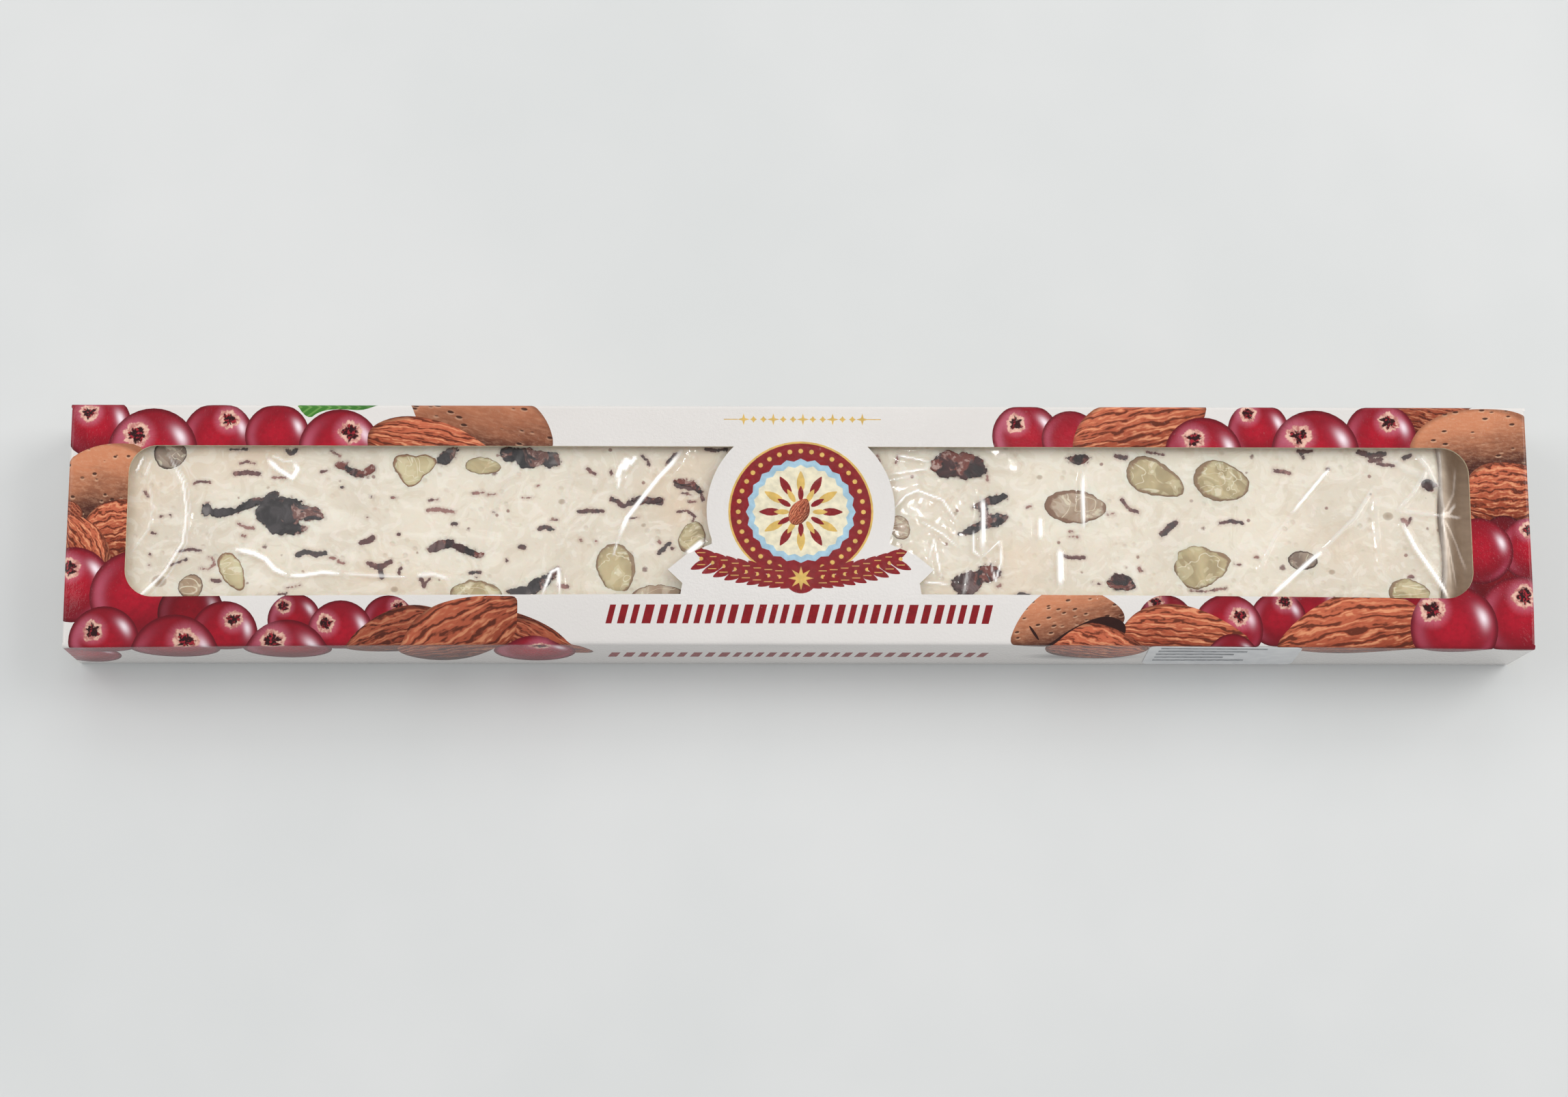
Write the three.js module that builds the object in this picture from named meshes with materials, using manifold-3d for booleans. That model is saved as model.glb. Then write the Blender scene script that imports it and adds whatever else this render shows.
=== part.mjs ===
// A soft nougat bar in clear film, in a long folding carton with a two-light window.
// Millimetres, +Z up. The origin is the middle of the carton's underside, X runs along the carton,
// and -Y is the front, the long side that faces the reader of the pack.
import * as THREE from "three";
import { mergeVertices } from "three/addons/utils/BufferGeometryUtils.js";
import Module from "manifold-3d";

const wasm = await Module();
wasm.setup();

// ---- driving dimensions ----
const carton = { length: 250, width: 42.3, height: 16, board: 0.45, fold: 0.7 };
const endFlap = { sideGap: 0.9, slit: 0.25, depth: 0.2 };
const light = { outerEnd: 114.8, back: 13.9, front: -12.7, corner: 4.8 };
// The bridge between the two lights: a round shield with a pointed ear low on each side.
const shield = {
  radius: 16.1,
  centreY: 2.6,
  shoulder: [15.2, -3.5],
  earRoot: [19.6, -5.5],
  earTip: [22.7, -8.2],
  notch: [20.2, -10.7],
  foot: [20.5, light.front],
};
const bar = { left: -116.4, right: 110, width: 39.2, bottom: 1.3, top: 14.2, bevel: 0.5 };
const film = {
  clear: 0.3,
  thick: 0.25,
  corner: 1.2,
  finThick: 0.5,
  finEnd: 124.1,
  finZ: 7.7,
  seamSlit: 0.4,
};
const sticker = { left: 59.4, right: 85.4, top: 15.2, bottom: 1.4, thick: 0.12, clear: 0.04 };
const pocketClear = 0.4;
const flakeHeight = 0.14;

// Nut slices in the cut face: [x, y, half length, half width, turn in degrees, depth].
const almondCuts = [
  [-108.1, 12.8, 2.8, 2.6, 0, 3.8],
  [-103.7, -10.4, 2.2, 2, 20, 2.7],
  [-96.9, -7.8, 3.7, 1.8, -62, 3.6],
  [-66.4, 10.4, 3.5, 2.6, 12, 4],
  [-54.4, 10.8, 3.2, 1.4, -4, 3.1],
  [-55.3, -12, 4.6, 2.6, 0, 4.5],
  [-31.5, -7.2, 4.5, 3.2, -80, 5],
  [-18.5, -1.8, 3, 2.2, 75, 3.6],
  [-24.7, -11.6, 4.3, 1.4, 6, 3.1],
  [16.9, 0, 2.2, 1.8, -60, 3.1],
  [47.2, 3.8, 5.4, 2.8, -3, 4.5],
  [60.8, 8.9, 5.3, 3, -24, 5],
  [72.4, 8.3, 5, 3.4, -14, 5],
  [68.6, -6.6, 5, 3.7, 6, 5.4],
  [86, -5.6, 2.6, 1.6, -4, 2.7],
  [104.1, -11.5, 3.7, 2.6, -6, 4],
];

// Dried cranberries in the cut face, each a few lobes: [x, y, half length, half width, turn].
const cranberryLobes = [
  [
    [-88.9, 2.1, 4.1, 3.36, 0],
    [-84.4, 2.5, 3, 1.36, -12],
    [-86.7, -0.4, 2.2, 1.04, 0],
    [-91.1, 5.1, 1.9, 0.64, 30],
    [-94.5, 3.9, 2.6, 0.68, 22],
    [-98.5, 2.6, 2.9, 0.72, 6],
    [-101.6, 3, 0.7, 1.2, 0],
  ],
  [
    [-78.6, 10.9, 1.2, 0.72, 0],
    [-76.5, 9.7, 2, 0.72, -24],
    [-74.2, 9.8, 1.4, 0.64, 34],
  ],
  [[-60.6, 12.5, 2.2, 1.12, 38]],
  [
    [-49.6, 12.9, 2.2, 1.36, 0],
    [-46.4, 12.2, 2.9, 1.76, 0],
    [-43, 11.9, 1.8, 1.44, 0],
  ],
  [
    [-47.3, -11.2, 2.9, 0.8, 4],
    [-44.4, -9.8, 2.9, 1.12, 32],
    [-42.2, -8.1, 1.4, 0.72, 42],
  ],
  [
    [-61.4, -3.2, 2.5, 0.88, 20],
    [-57.2, -4, 3.4, 0.68, -20],
  ],
  [
    [-19.8, 7.8, 1.8, 0.64, -14],
    [-17.9, 7.1, 1.4, 0.55, -50],
  ],
  [[-26.3, 4.8, 2.8, 0.68, -2]],
  [
    [25.2, 11.2, 2.6, 2.48, 0],
    [29, 10.9, 3, 2.4, -10],
  ],
  [
    [32.6, 4.8, 3.2, 0.8, 18],
    [31.4, 2.6, 0.8, 2.16, 8],
    [30.3, 0.2, 3.3, 0.8, 24],
    [33.1, 1.3, 2.4, 1.12, 20],
  ],
  [
    [28.5, -9.6, 2.9, 2, 20],
    [31.9, -8, 2.5, 1.52, 14],
  ],
  [[54.7, -9.6, 2.4, 1.44, -10]],
  [[47.9, 12.2, 2, 0.96, 0]],
  [[108.2, 7.7, 1.4, 1.04, -10]],
];

// Cranberry shreds too small for a node: [x, y, half length, half width, turn].
const flakes = [
  [-94.9, 11.8, 1.3, 0.4, 4],
  [-94.9, 9.4, 2.2, 0.48, 4],
  [-102.4, 8.2, 1.5, 0.4, 6],
  [-104.1, -4, 2, 0.4, 4],
  [-105.9, -6.2, 1.5, 0.32, 22],
  [-94.6, 0.2, 1.2, 0.4, -24],
  [-83.2, -4.5, 2.6, 0.64, 2],
  [-78.8, -5.7, 1.4, 0.32, -22],
  [-73.8, -2.3, 1.2, 0.64, 20],
  [-71.4, -7, 2.1, 1.04, 0],
  [-63.8, -9.4, 0.8, 0.6, -60],
  [-61, -6.3, 1.1, 1.04, 0],
  [-65.9, 3.2, 2, 0.4, -6],
  [-55.2, -8, 1, 0.32, -10],
  [-54.9, 6.3, 1.1, 0.4, 4],
  [-47.3, -3.3, 0.6, 0.4, 0],
  [-43.1, 0.2, 1.4, 0.4, 0],
  [-35.6, 3.1, 2.1, 0.48, 0],
  [-35.7, 10.2, 0.8, 0.6, -50],
  [-31, 4.8, 1.1, 0.52, -32],
  [-28.9, 2.1, 1.2, 0.32, 10],
  [-40.2, -12.8, 1, 0.6, -10],
  [-22.8, -4.5, 1.3, 0.52, 42],
  [-19.4, 3, 1.5, 0.4, -10],
  [-22.1, 12.5, 1, 0.6, 20],
  [38.1, 3.7, 0.8, 0.36, 30],
  [38.1, -11.6, 1.2, 0.4, 0],
  [46.9, -4.9, 1.8, 0.36, -4],
  [47, -1.4, 0.9, 0.32, 0],
  [54.2, 13.1, 1.2, 0.6, 0],
  [57, 3.9, 1.8, 0.44, -36],
  [63.6, 0.2, 1.6, 0.64, 44],
  [74.2, 1.3, 2.1, 0.48, -4],
  [69.8, -11.7, 3, 0.36, 4],
  [83.4, 10.5, 1.4, 0.4, -10],
  [98.5, 13.5, 1.8, 0.56, -8],
  [101.4, 11.6, 1.3, 0.36, -2],
  [104.4, 1.4, 0.8, 0.6, 0],
];

// Creases that stand up in the film over the bar: [x1, y1, x2, y2, height].
const filmCreases = [
  [98.8, 7.5, 76, -15.3, 0.4],
  [91.5, 11.6, 81.7, -2.1, 0.4],
  [103.2, 3.5, 107.7, -16.2, 0.4],
  [-18.5, 12.2, -31.9, -3.6, 0.4],
  [-96.7, -5, -86.1, -8.5, 0.4],
  [-86.1, -8.5, -67.7, -8.2, 0.4],
  [-107.6, 13.2, -105.8, -1.1, 0.4],
  [-105.8, -1.1, -110, -13.3, 0.4],
];

const colours = {
  carton: { color: 0xdedbd6, roughness: 0.35, metalness: 0 },
  nougat: { color: 0xe9e0cc, roughness: 0.6, metalness: 0 },
  almond: { color: 0xb9ad83, roughness: 0.5, metalness: 0 },
  cranberry: { color: 0x3a1c20, roughness: 0.3, metalness: 0 },
  film: { color: 0xf4f4f2, roughness: 0.08, metalness: 0, transparent: true, opacity: 0.2 },
  sticker: { color: 0xe8e8e6, roughness: 0.45, metalness: 0 },
};

// ---- closed meshes and booleans ----
function solidOf(geometry) {
  const bare = new THREE.BufferGeometry();
  bare.setAttribute("position", geometry.getAttribute("position").clone());
  if (geometry.index) bare.setIndex(geometry.index.clone());
  const merged = mergeVertices(bare, 1e-4);
  return new wasm.Manifold(
    new wasm.Mesh({
      numProp: 3,
      vertProperties: new Float32Array(merged.attributes.position.array),
      triVerts: new Uint32Array(merged.index.array),
    }),
  );
}

function geometryOf(solid) {
  const mesh = solid.getMesh();
  const count = mesh.vertProperties.length / mesh.numProp;
  const position = new Float32Array(count * 3);
  for (let i = 0; i < count; i++) {
    position.set(mesh.vertProperties.subarray(i * mesh.numProp, i * mesh.numProp + 3), i * 3);
  }
  const geometry = new THREE.BufferGeometry();
  geometry.setAttribute("position", new THREE.BufferAttribute(position, 3));
  geometry.setIndex(new THREE.BufferAttribute(new Uint32Array(mesh.triVerts), 1));
  geometry.computeVertexNormals();
  return geometry;
}

function moved(geometry, x, y, z, turnDegrees = 0) {
  geometry.rotateZ(THREE.MathUtils.degToRad(turnDegrees));
  geometry.translate(x, y, z);
  return geometry;
}

function boxBetween(low, high) {
  const size = high.map((value, i) => value - low[i]);
  const box = new THREE.BoxGeometry(...size);
  box.translate(...low.map((value, i) => value + size[i] / 2));
  return solidOf(box);
}

const named = (name, geometry, look) => {
  const mesh = new THREE.Mesh(geometry, new THREE.MeshStandardMaterial(look));
  mesh.name = name;
  return mesh;
};

// ---- carton ----
function roundedRectangle(width, height, radius) {
  const shape = new THREE.Shape();
  const [w, h] = [width / 2, height / 2];
  shape.moveTo(-w + radius, -h);
  shape.lineTo(w - radius, -h);
  shape.absarc(w - radius, -h + radius, radius, -Math.PI / 2, 0);
  shape.lineTo(w, h - radius);
  shape.absarc(w - radius, h - radius, radius, 0, Math.PI / 2);
  shape.lineTo(-w + radius, h);
  shape.absarc(-w + radius, h - radius, radius, Math.PI / 2, Math.PI);
  shape.lineTo(-w, -h + radius);
  shape.absarc(-w + radius, -h + radius, radius, Math.PI, 1.5 * Math.PI);
  return shape;
}

// A box whose twelve edges are folds: three rounded prisms, one along each axis, in common.
function foldedBox(length, width, height, radius, baseZ) {
  const prism = (a, b, depth) => {
    const options = { depth, bevelEnabled: false, curveSegments: 3 };
    const geometry = new THREE.ExtrudeGeometry(roundedRectangle(a, b, radius), options);
    geometry.translate(0, 0, -depth / 2);
    return geometry;
  };
  const alongZ = prism(length, width, height);
  const alongX = prism(width, height, length);
  alongX.rotateY(Math.PI / 2);
  alongX.rotateX(Math.PI / 2);
  const alongY = prism(length, height, width);
  alongY.rotateX(Math.PI / 2);
  const parts = [alongX, alongY, alongZ].map((geometry) => {
    geometry.translate(0, 0, baseZ + height / 2);
    return solidOf(geometry);
  });
  return parts[0].intersect(parts[1]).intersect(parts[2]);
}

// One light of the window. side is -1 for the left one and 1 for the right one.
function lightOutline(side) {
  const { outerEnd, back, front, corner } = light;
  const shape = new THREE.Shape();
  const at = ([x, y]) => [side * x, y];
  const tipAngle = Math.asin((back - shield.centreY) / shield.radius);
  const shoulderAngle = Math.asin((shield.shoulder[1] + 0.9 - shield.centreY) / shield.radius);
  shape.moveTo(...at([shield.radius * Math.cos(tipAngle), back]));
  shape.lineTo(...at([outerEnd - corner, back]));
  cornerArc(shape, side, outerEnd - corner, back - corner, corner, Math.PI / 2, 0);
  shape.lineTo(...at([outerEnd, front + corner]));
  cornerArc(shape, side, outerEnd - corner, front + corner, corner, 0, -Math.PI / 2);
  for (const point of [shield.foot, shield.notch, shield.earTip, shield.earRoot, shield.shoulder]) {
    shape.lineTo(...at(point));
  }
  cornerArc(shape, side, 0, shield.centreY, shield.radius, shoulderAngle, tipAngle);
  return shape;
}

function cornerArc(shape, side, x, y, radius, from, to) {
  const steps = Math.max(5, Math.round((Math.abs(to - from) * radius) / 1.3));
  for (let i = 0; i <= steps; i++) {
    const angle = from + ((to - from) * i) / steps;
    shape.lineTo(side * (x + radius * Math.cos(angle)), y + radius * Math.sin(angle));
  }
}

function lightCutter(side) {
  const outline = lightOutline(side).getPoints();
  const tidy = outline.filter((p, i) => i === 0 || p.distanceTo(outline[i - 1]) > 0.01);
  const cutter = new THREE.ExtrudeGeometry(new THREE.Shape(tidy), { depth: 3, bevelEnabled: false });
  cutter.translate(0, 0, carton.height - 2);
  return solidOf(cutter);
}

// The cut edges of the tuck-in end flap, as a slit along its two sides and its foot.
function endFlapSlits(side) {
  const { length, width, board, fold } = carton;
  const [inner, outer] = [length / 2 - endFlap.depth, length / 2 + 1];
  const [low, high] = side > 0 ? [inner, outer] : [-outer, -inner];
  const edge = width / 2 - endFlap.sideGap;
  const foot = board + 0.1;
  const top = carton.height - fold;
  return [
    boxBetween([low, edge, foot], [high, edge + endFlap.slit, top]),
    boxBetween([low, -edge - endFlap.slit, foot], [high, -edge, top]),
    boxBetween([low, -edge, foot], [high, edge, foot + endFlap.slit]),
  ];
}

function makeCarton() {
  const { length, width, height, board, fold } = carton;
  const outer = foldedBox(length, width, height, fold, 0);
  const inner = foldedBox(
    length - 2 * board,
    width - 2 * board,
    height - 2 * board,
    fold - board + 0.15,
    board,
  );
  let shell = outer.subtract(inner);
  for (const side of [-1, 1]) {
    shell = shell.subtract(lightCutter(side));
    for (const slit of endFlapSlits(side)) shell = shell.subtract(slit);
  }
  return named("carton", geometryOf(shell), colours.carton);
}

// ---- what is set in the nougat ----
// A bowl with a flat rim at z = 0. grow widens and deepens it and collar carries its rim up, for a pocket.
function bowl([, , halfLength, halfWidth], depth, { grow = 0, collar = 0, lumps = 0, taper = 0 }) {
  const rings = 3;
  const sectors = 14;
  const profile = [new THREE.Vector2(0, -depth - grow)];
  for (let i = 1; i <= rings; i++) {
    const angle = ((Math.PI / 2) * i) / rings;
    const drop = i < rings ? (depth + grow) * Math.cos(angle) : 0;
    profile.push(new THREE.Vector2(Math.sin(angle), -drop));
  }
  if (collar > 0) profile.push(new THREE.Vector2(1, collar));
  profile.push(new THREE.Vector2(0, collar));
  const geometry = new THREE.LatheGeometry(profile, sectors);
  geometry.rotateX(Math.PI / 2);
  const position = geometry.getAttribute("position");
  for (let i = 0; i < position.count; i++) {
    const [x, y] = [position.getX(i), position.getY(i)];
    const angle = Math.atan2(y, x);
    const wave = 1 + lumps * (Math.sin(3 * angle + halfLength * 9) + 0.6 * Math.sin(5 * angle + halfWidth * 7));
    position.setX(i, x * (halfLength * wave + grow));
    position.setY(i, y * (halfWidth * wave * (1 - taper * x) + grow));
  }
  return geometry;
}

// LatheGeometry turns about Y, so the bowl is laid with its rim up: z is the profile's height.
function setIn(cut, depth, options) {
  const [x, y, , , turn] = cut;
  return solidOf(moved(bowl(cut, depth, options), x, y, bar.top, turn));
}

const nutLook = { taper: 0.16, lumps: 0.015 };
const berryLook = { lumps: 0.09 };
const berryDepth = (lobe) => Math.min(3.2, 1.2 + lobe[3]);
const joined = (solids) => solids.reduce((whole, next) => whole.add(next));

function makeAlmonds() {
  return almondCuts.map((cut, i) => {
    const name = "almond_" + String(i + 1).padStart(2, "0");
    return named(name, geometryOf(setIn(cut, cut[5], nutLook)), colours.almond);
  });
}

function makeCranberries() {
  return cranberryLobes.map((lobes, i) => {
    const name = "cranberry_" + String(i + 1).padStart(2, "0");
    const solid = joined(lobes.map((lobe) => setIn(lobe, berryDepth(lobe), berryLook)));
    return named(name, geometryOf(solid), colours.cranberry);
  });
}

// ---- nougat ----
// The bar's plan: knife-cut sides that wander a little, and uneven ends.
function barOutline() {
  const half = bar.width / 2 - bar.bevel;
  const [left, right] = [bar.left + bar.bevel, bar.right - bar.bevel];
  const wander = (t, seed) => 0.26 * Math.sin(0.049 * t + seed) + 0.14 * Math.sin(0.15 * t + 2 * seed);
  const points = [];
  const sideSteps = 22;
  const endSteps = 6;
  for (let i = 0; i < sideSteps; i++) {
    const x = left + ((right - left) * i) / sideSteps;
    points.push([x, -half + 0.4 + wander(x, 1.3)]);
  }
  for (let i = 0; i < endSteps; i++) {
    const y = -half + 0.4 + ((2 * half - 0.8) * i) / endSteps;
    points.push([right - 0.35 + 0.35 * Math.sin(0.42 * y + 0.6), y]);
  }
  for (let i = 0; i < sideSteps; i++) {
    const x = right - ((right - left) * i) / sideSteps;
    points.push([x, half - 0.4 + wander(x, 2.9)]);
  }
  for (let i = 0; i < endSteps; i++) {
    const y = half - 0.4 - ((2 * half - 0.8) * i) / endSteps;
    points.push([left + 0.35 + 0.3 * Math.sin(0.37 * y + 2.1), y]);
  }
  return new THREE.Shape(points.map(([x, y]) => new THREE.Vector2(x, y)));
}

// A shred lies almost flush: a low pyramid whose foot is sunk in the bar.
function flakeSolid(flake) {
  const [x, y, halfLength, halfWidth, turn] = flake;
  const sunk = 0.3;
  const cone = new THREE.ConeGeometry(1, flakeHeight + sunk, 8, 1);
  cone.rotateX(Math.PI / 2);
  const widen = (flakeHeight + sunk) / flakeHeight;
  cone.scale(halfLength * widen, halfWidth * widen, 1);
  return solidOf(moved(cone, x, y, bar.top + (flakeHeight - sunk) / 2, turn));
}

function makeNougat() {
  const block = new THREE.ExtrudeGeometry(barOutline(), {
    depth: bar.top - bar.bottom - 2 * bar.bevel,
    bevelEnabled: true,
    bevelThickness: bar.bevel,
    bevelSize: bar.bevel,
    bevelSegments: 2,
    curveSegments: 1,
  });
  block.translate(0, 0, bar.bottom + bar.bevel);
  let solid = solidOf(block);
  for (const flake of flakes) solid = solid.add(flakeSolid(flake));
  for (const cut of almondCuts) {
    solid = solid.subtract(setIn(cut, cut[5], { ...nutLook, grow: pocketClear, collar: 1 }));
  }
  for (const lobe of cranberryLobes.flat()) {
    const pocket = { ...berryLook, grow: pocketClear, collar: 1 };
    solid = solid.subtract(setIn(lobe, berryDepth(lobe), pocket));
  }
  return named("nougat", geometryOf(solid), colours.nougat);
}

// ---- film ----
// A tube of rounded sections along X. stations are [x, middle z, height, width].
function tubeThrough(stations, corner) {
  const around = 24;
  const geometry = new THREE.CylinderGeometry(1, 1, 1, around, stations.length - 1);
  const position = geometry.getAttribute("position");
  for (let i = 0; i < position.count; i++) {
    const [a, h, b] = [position.getX(i), position.getY(i), position.getZ(i)];
    const station = Math.round((h + 0.5) * (stations.length - 1));
    const [x, middle, height, width] = stations[station];
    const radial = Math.hypot(a, b);
    if (radial < 0.5) {
      position.setXYZ(i, x, 0, middle);
      continue;
    }
    const [y, z] = onRoundedRectangle(Math.atan2(a, b), width / 2, height / 2, corner);
    position.setXYZ(i, x, y, middle + z);
  }
  return solidOf(geometry);
}

// The point of a rounded rectangle that an angle picks: six points share each corner, evenly.
function onRoundedRectangle(angle, halfY, halfZ, corner) {
  const radius = Math.min(corner, halfY * 0.9, halfZ * 0.9);
  const turn = (angle + 2 * Math.PI) % (2 * Math.PI);
  const quarter = Math.min(3, Math.floor(turn / (Math.PI / 2) + 1e-6));
  const share = turn / (Math.PI / 2) - quarter;
  const bend = (quarter + share) * (Math.PI / 2);
  const [signY, signZ] = [
    [1, 1],
    [-1, 1],
    [-1, -1],
    [1, -1],
  ][quarter];
  return [
    signY * (halfY - radius) + radius * Math.cos(bend),
    signZ * (halfZ - radius) + radius * Math.sin(bend),
  ];
}

// Sections of the wrap from end seal to end seal, grown outwards by grow.
function wrapStations(grow) {
  const middle = (bar.top + bar.bottom) / 2;
  const full = [bar.top - bar.bottom + 2 * grow, bar.width + 2 * grow];
  const fin = film.finThick - 2 * (film.clear + film.thick - grow);
  const finWidth = bar.width - 1 + 2 * grow;
  return [
    [bar.left - 3.8, film.finZ, Math.max(fin, 0.1), finWidth],
    [bar.left - 2.2, film.finZ + 0.2, 0.42 * full[0], full[1]],
    [bar.left - grow, middle, full[0], full[1]],
    [bar.right + grow, middle, full[0], full[1]],
    [bar.right + 2.8, film.finZ + 0.3, 0.62 * full[0], full[1]],
    [bar.right + 5.6, film.finZ, Math.max(fin, 0.1), finWidth],
  ];
}

function makeFilm() {
  const outerGrow = film.clear + film.thick;
  const outerRows = wrapStations(outerGrow);
  const finHalf = (bar.width - 1) / 2 + outerGrow;
  const outer = tubeThrough(outerRows, film.corner);
  const inner = tubeThrough(wrapStations(film.clear), film.corner - film.thick);
  const [finLow, finHigh] = [film.finZ - film.finThick / 2, film.finZ + film.finThick / 2];
  const leftFin = boxBetween([-film.finEnd, -finHalf, finLow], [bar.left - 3.6, finHalf, finHigh]);
  const rightFin = boxBetween([bar.right + 5.4, -finHalf, finLow], [film.finEnd, finHalf, finHigh]);
  let wrap = outer.add(leftFin).add(rightFin).subtract(inner);
  const base = bar.bottom - outerGrow;
  wrap = wrap.subtract(
    boxBetween([bar.left + 1, 5, base - 0.5], [bar.right - 1, 5 + film.seamSlit, bar.bottom]),
  );
  for (const crease of filmCreases) wrap = wrap.add(creaseSolid(crease));
  return named("film_wrap", geometryOf(wrap), colours.film);
}

// A standing crease: a three-sided ridge whose foot is sunk into the film's outer face.
function creaseSolid([x1, y1, x2, y2, height]) {
  const length = Math.hypot(x2 - x1, y2 - y1);
  const foot = 0.15;
  const ridge = new THREE.Shape([
    new THREE.Vector2(-0.75, -foot),
    new THREE.Vector2(0.75, -foot),
    new THREE.Vector2(0, height),
  ]);
  const geometry = new THREE.ExtrudeGeometry(ridge, { depth: length, bevelEnabled: false });
  geometry.rotateX(Math.PI / 2);
  geometry.rotateZ(Math.atan2(y2 - y1, x2 - x1) + Math.PI / 2);
  geometry.translate(x1, y1, bar.top + film.clear + film.thick);
  return solidOf(geometry);
}

// ---- sticker ----
function makeSticker() {
  const outline = roundedRectangle(sticker.right - sticker.left, sticker.top - sticker.bottom, 1.2);
  const options = { depth: sticker.thick, bevelEnabled: false, curveSegments: 4 };
  const geometry = new THREE.ExtrudeGeometry(outline, options);
  geometry.rotateX(Math.PI / 2);
  const middleX = (sticker.left + sticker.right) / 2;
  const middleZ = (sticker.top + sticker.bottom) / 2;
  geometry.translate(middleX, -carton.width / 2 - sticker.clear, middleZ);
  return named("sticker", geometryOf(solidOf(geometry)), colours.sticker);
}

const nougatPack = new THREE.Group();
nougatPack.add(makeCarton(), makeNougat(), ...makeAlmonds(), ...makeCranberries());
nougatPack.add(makeFilm(), makeSticker());
export default nougatPack;
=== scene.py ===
import math
import random

import bpy
import numpy as np
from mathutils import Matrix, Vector, kdtree, noise
from mathutils.geometry import delaunay_2d_cdt


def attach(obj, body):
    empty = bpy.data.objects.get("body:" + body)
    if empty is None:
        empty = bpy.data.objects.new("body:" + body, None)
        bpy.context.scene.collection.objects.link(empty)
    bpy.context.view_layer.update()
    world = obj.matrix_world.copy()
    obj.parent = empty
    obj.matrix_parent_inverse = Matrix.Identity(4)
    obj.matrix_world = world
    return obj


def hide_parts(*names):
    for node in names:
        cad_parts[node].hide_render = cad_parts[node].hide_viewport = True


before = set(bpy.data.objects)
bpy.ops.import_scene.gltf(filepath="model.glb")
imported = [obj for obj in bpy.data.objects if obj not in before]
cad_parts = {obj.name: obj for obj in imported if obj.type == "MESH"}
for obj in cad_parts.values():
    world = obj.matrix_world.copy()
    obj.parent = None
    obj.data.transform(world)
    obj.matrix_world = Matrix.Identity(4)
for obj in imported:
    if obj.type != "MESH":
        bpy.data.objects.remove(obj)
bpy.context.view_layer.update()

mm = 0.001


def paint(code):
    # a colour from its screen code, as the shader wants it
    parts = [int(code[i : i + 2], 16) / 255 for i in (1, 3, 5)]
    linear = [p / 12.92 if p < 0.04045 else ((p + 0.055) / 1.055) ** 2.4 for p in parts]
    return (*linear, 1.0)


class Wire:
    # a socket that can be written into sums; every operator adds a Math node
    def __init__(self, look, socket):
        self.look = look
        self.socket = socket

    def __add__(self, other):
        return self.look.maths("ADD", self, other)

    def __radd__(self, other):
        return self.look.maths("ADD", other, self)

    def __sub__(self, other):
        return self.look.maths("SUBTRACT", self, other)

    def __rsub__(self, other):
        return self.look.maths("SUBTRACT", other, self)

    def __mul__(self, other):
        return self.look.maths("MULTIPLY", self, other)

    def __rmul__(self, other):
        return self.look.maths("MULTIPLY", other, self)

    def __truediv__(self, other):
        return self.look.maths("DIVIDE", self, other)

    def __rtruediv__(self, other):
        return self.look.maths("DIVIDE", other, self)

    def __pow__(self, other):
        return self.look.maths("POWER", self, other)

    def __rpow__(self, other):
        return self.look.maths("POWER", other, self)

    def __neg__(self):
        return 0.0 - self

    def __abs__(self):
        return self.look.maths("ABSOLUTE", self)


socketNames = {
    "color": "Base Color",
    "rough": "Roughness",
    "coat": "Coat Weight",
    "coatRough": "Coat Roughness",
    "gleam": "Specular IOR Level",
    "depth": "Subsurface Weight",
    "depthScale": "Subsurface Scale",
    "glow": "Emission Color",
    "glowStrength": "Emission Strength",
    "normal": "Normal",
}


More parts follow.
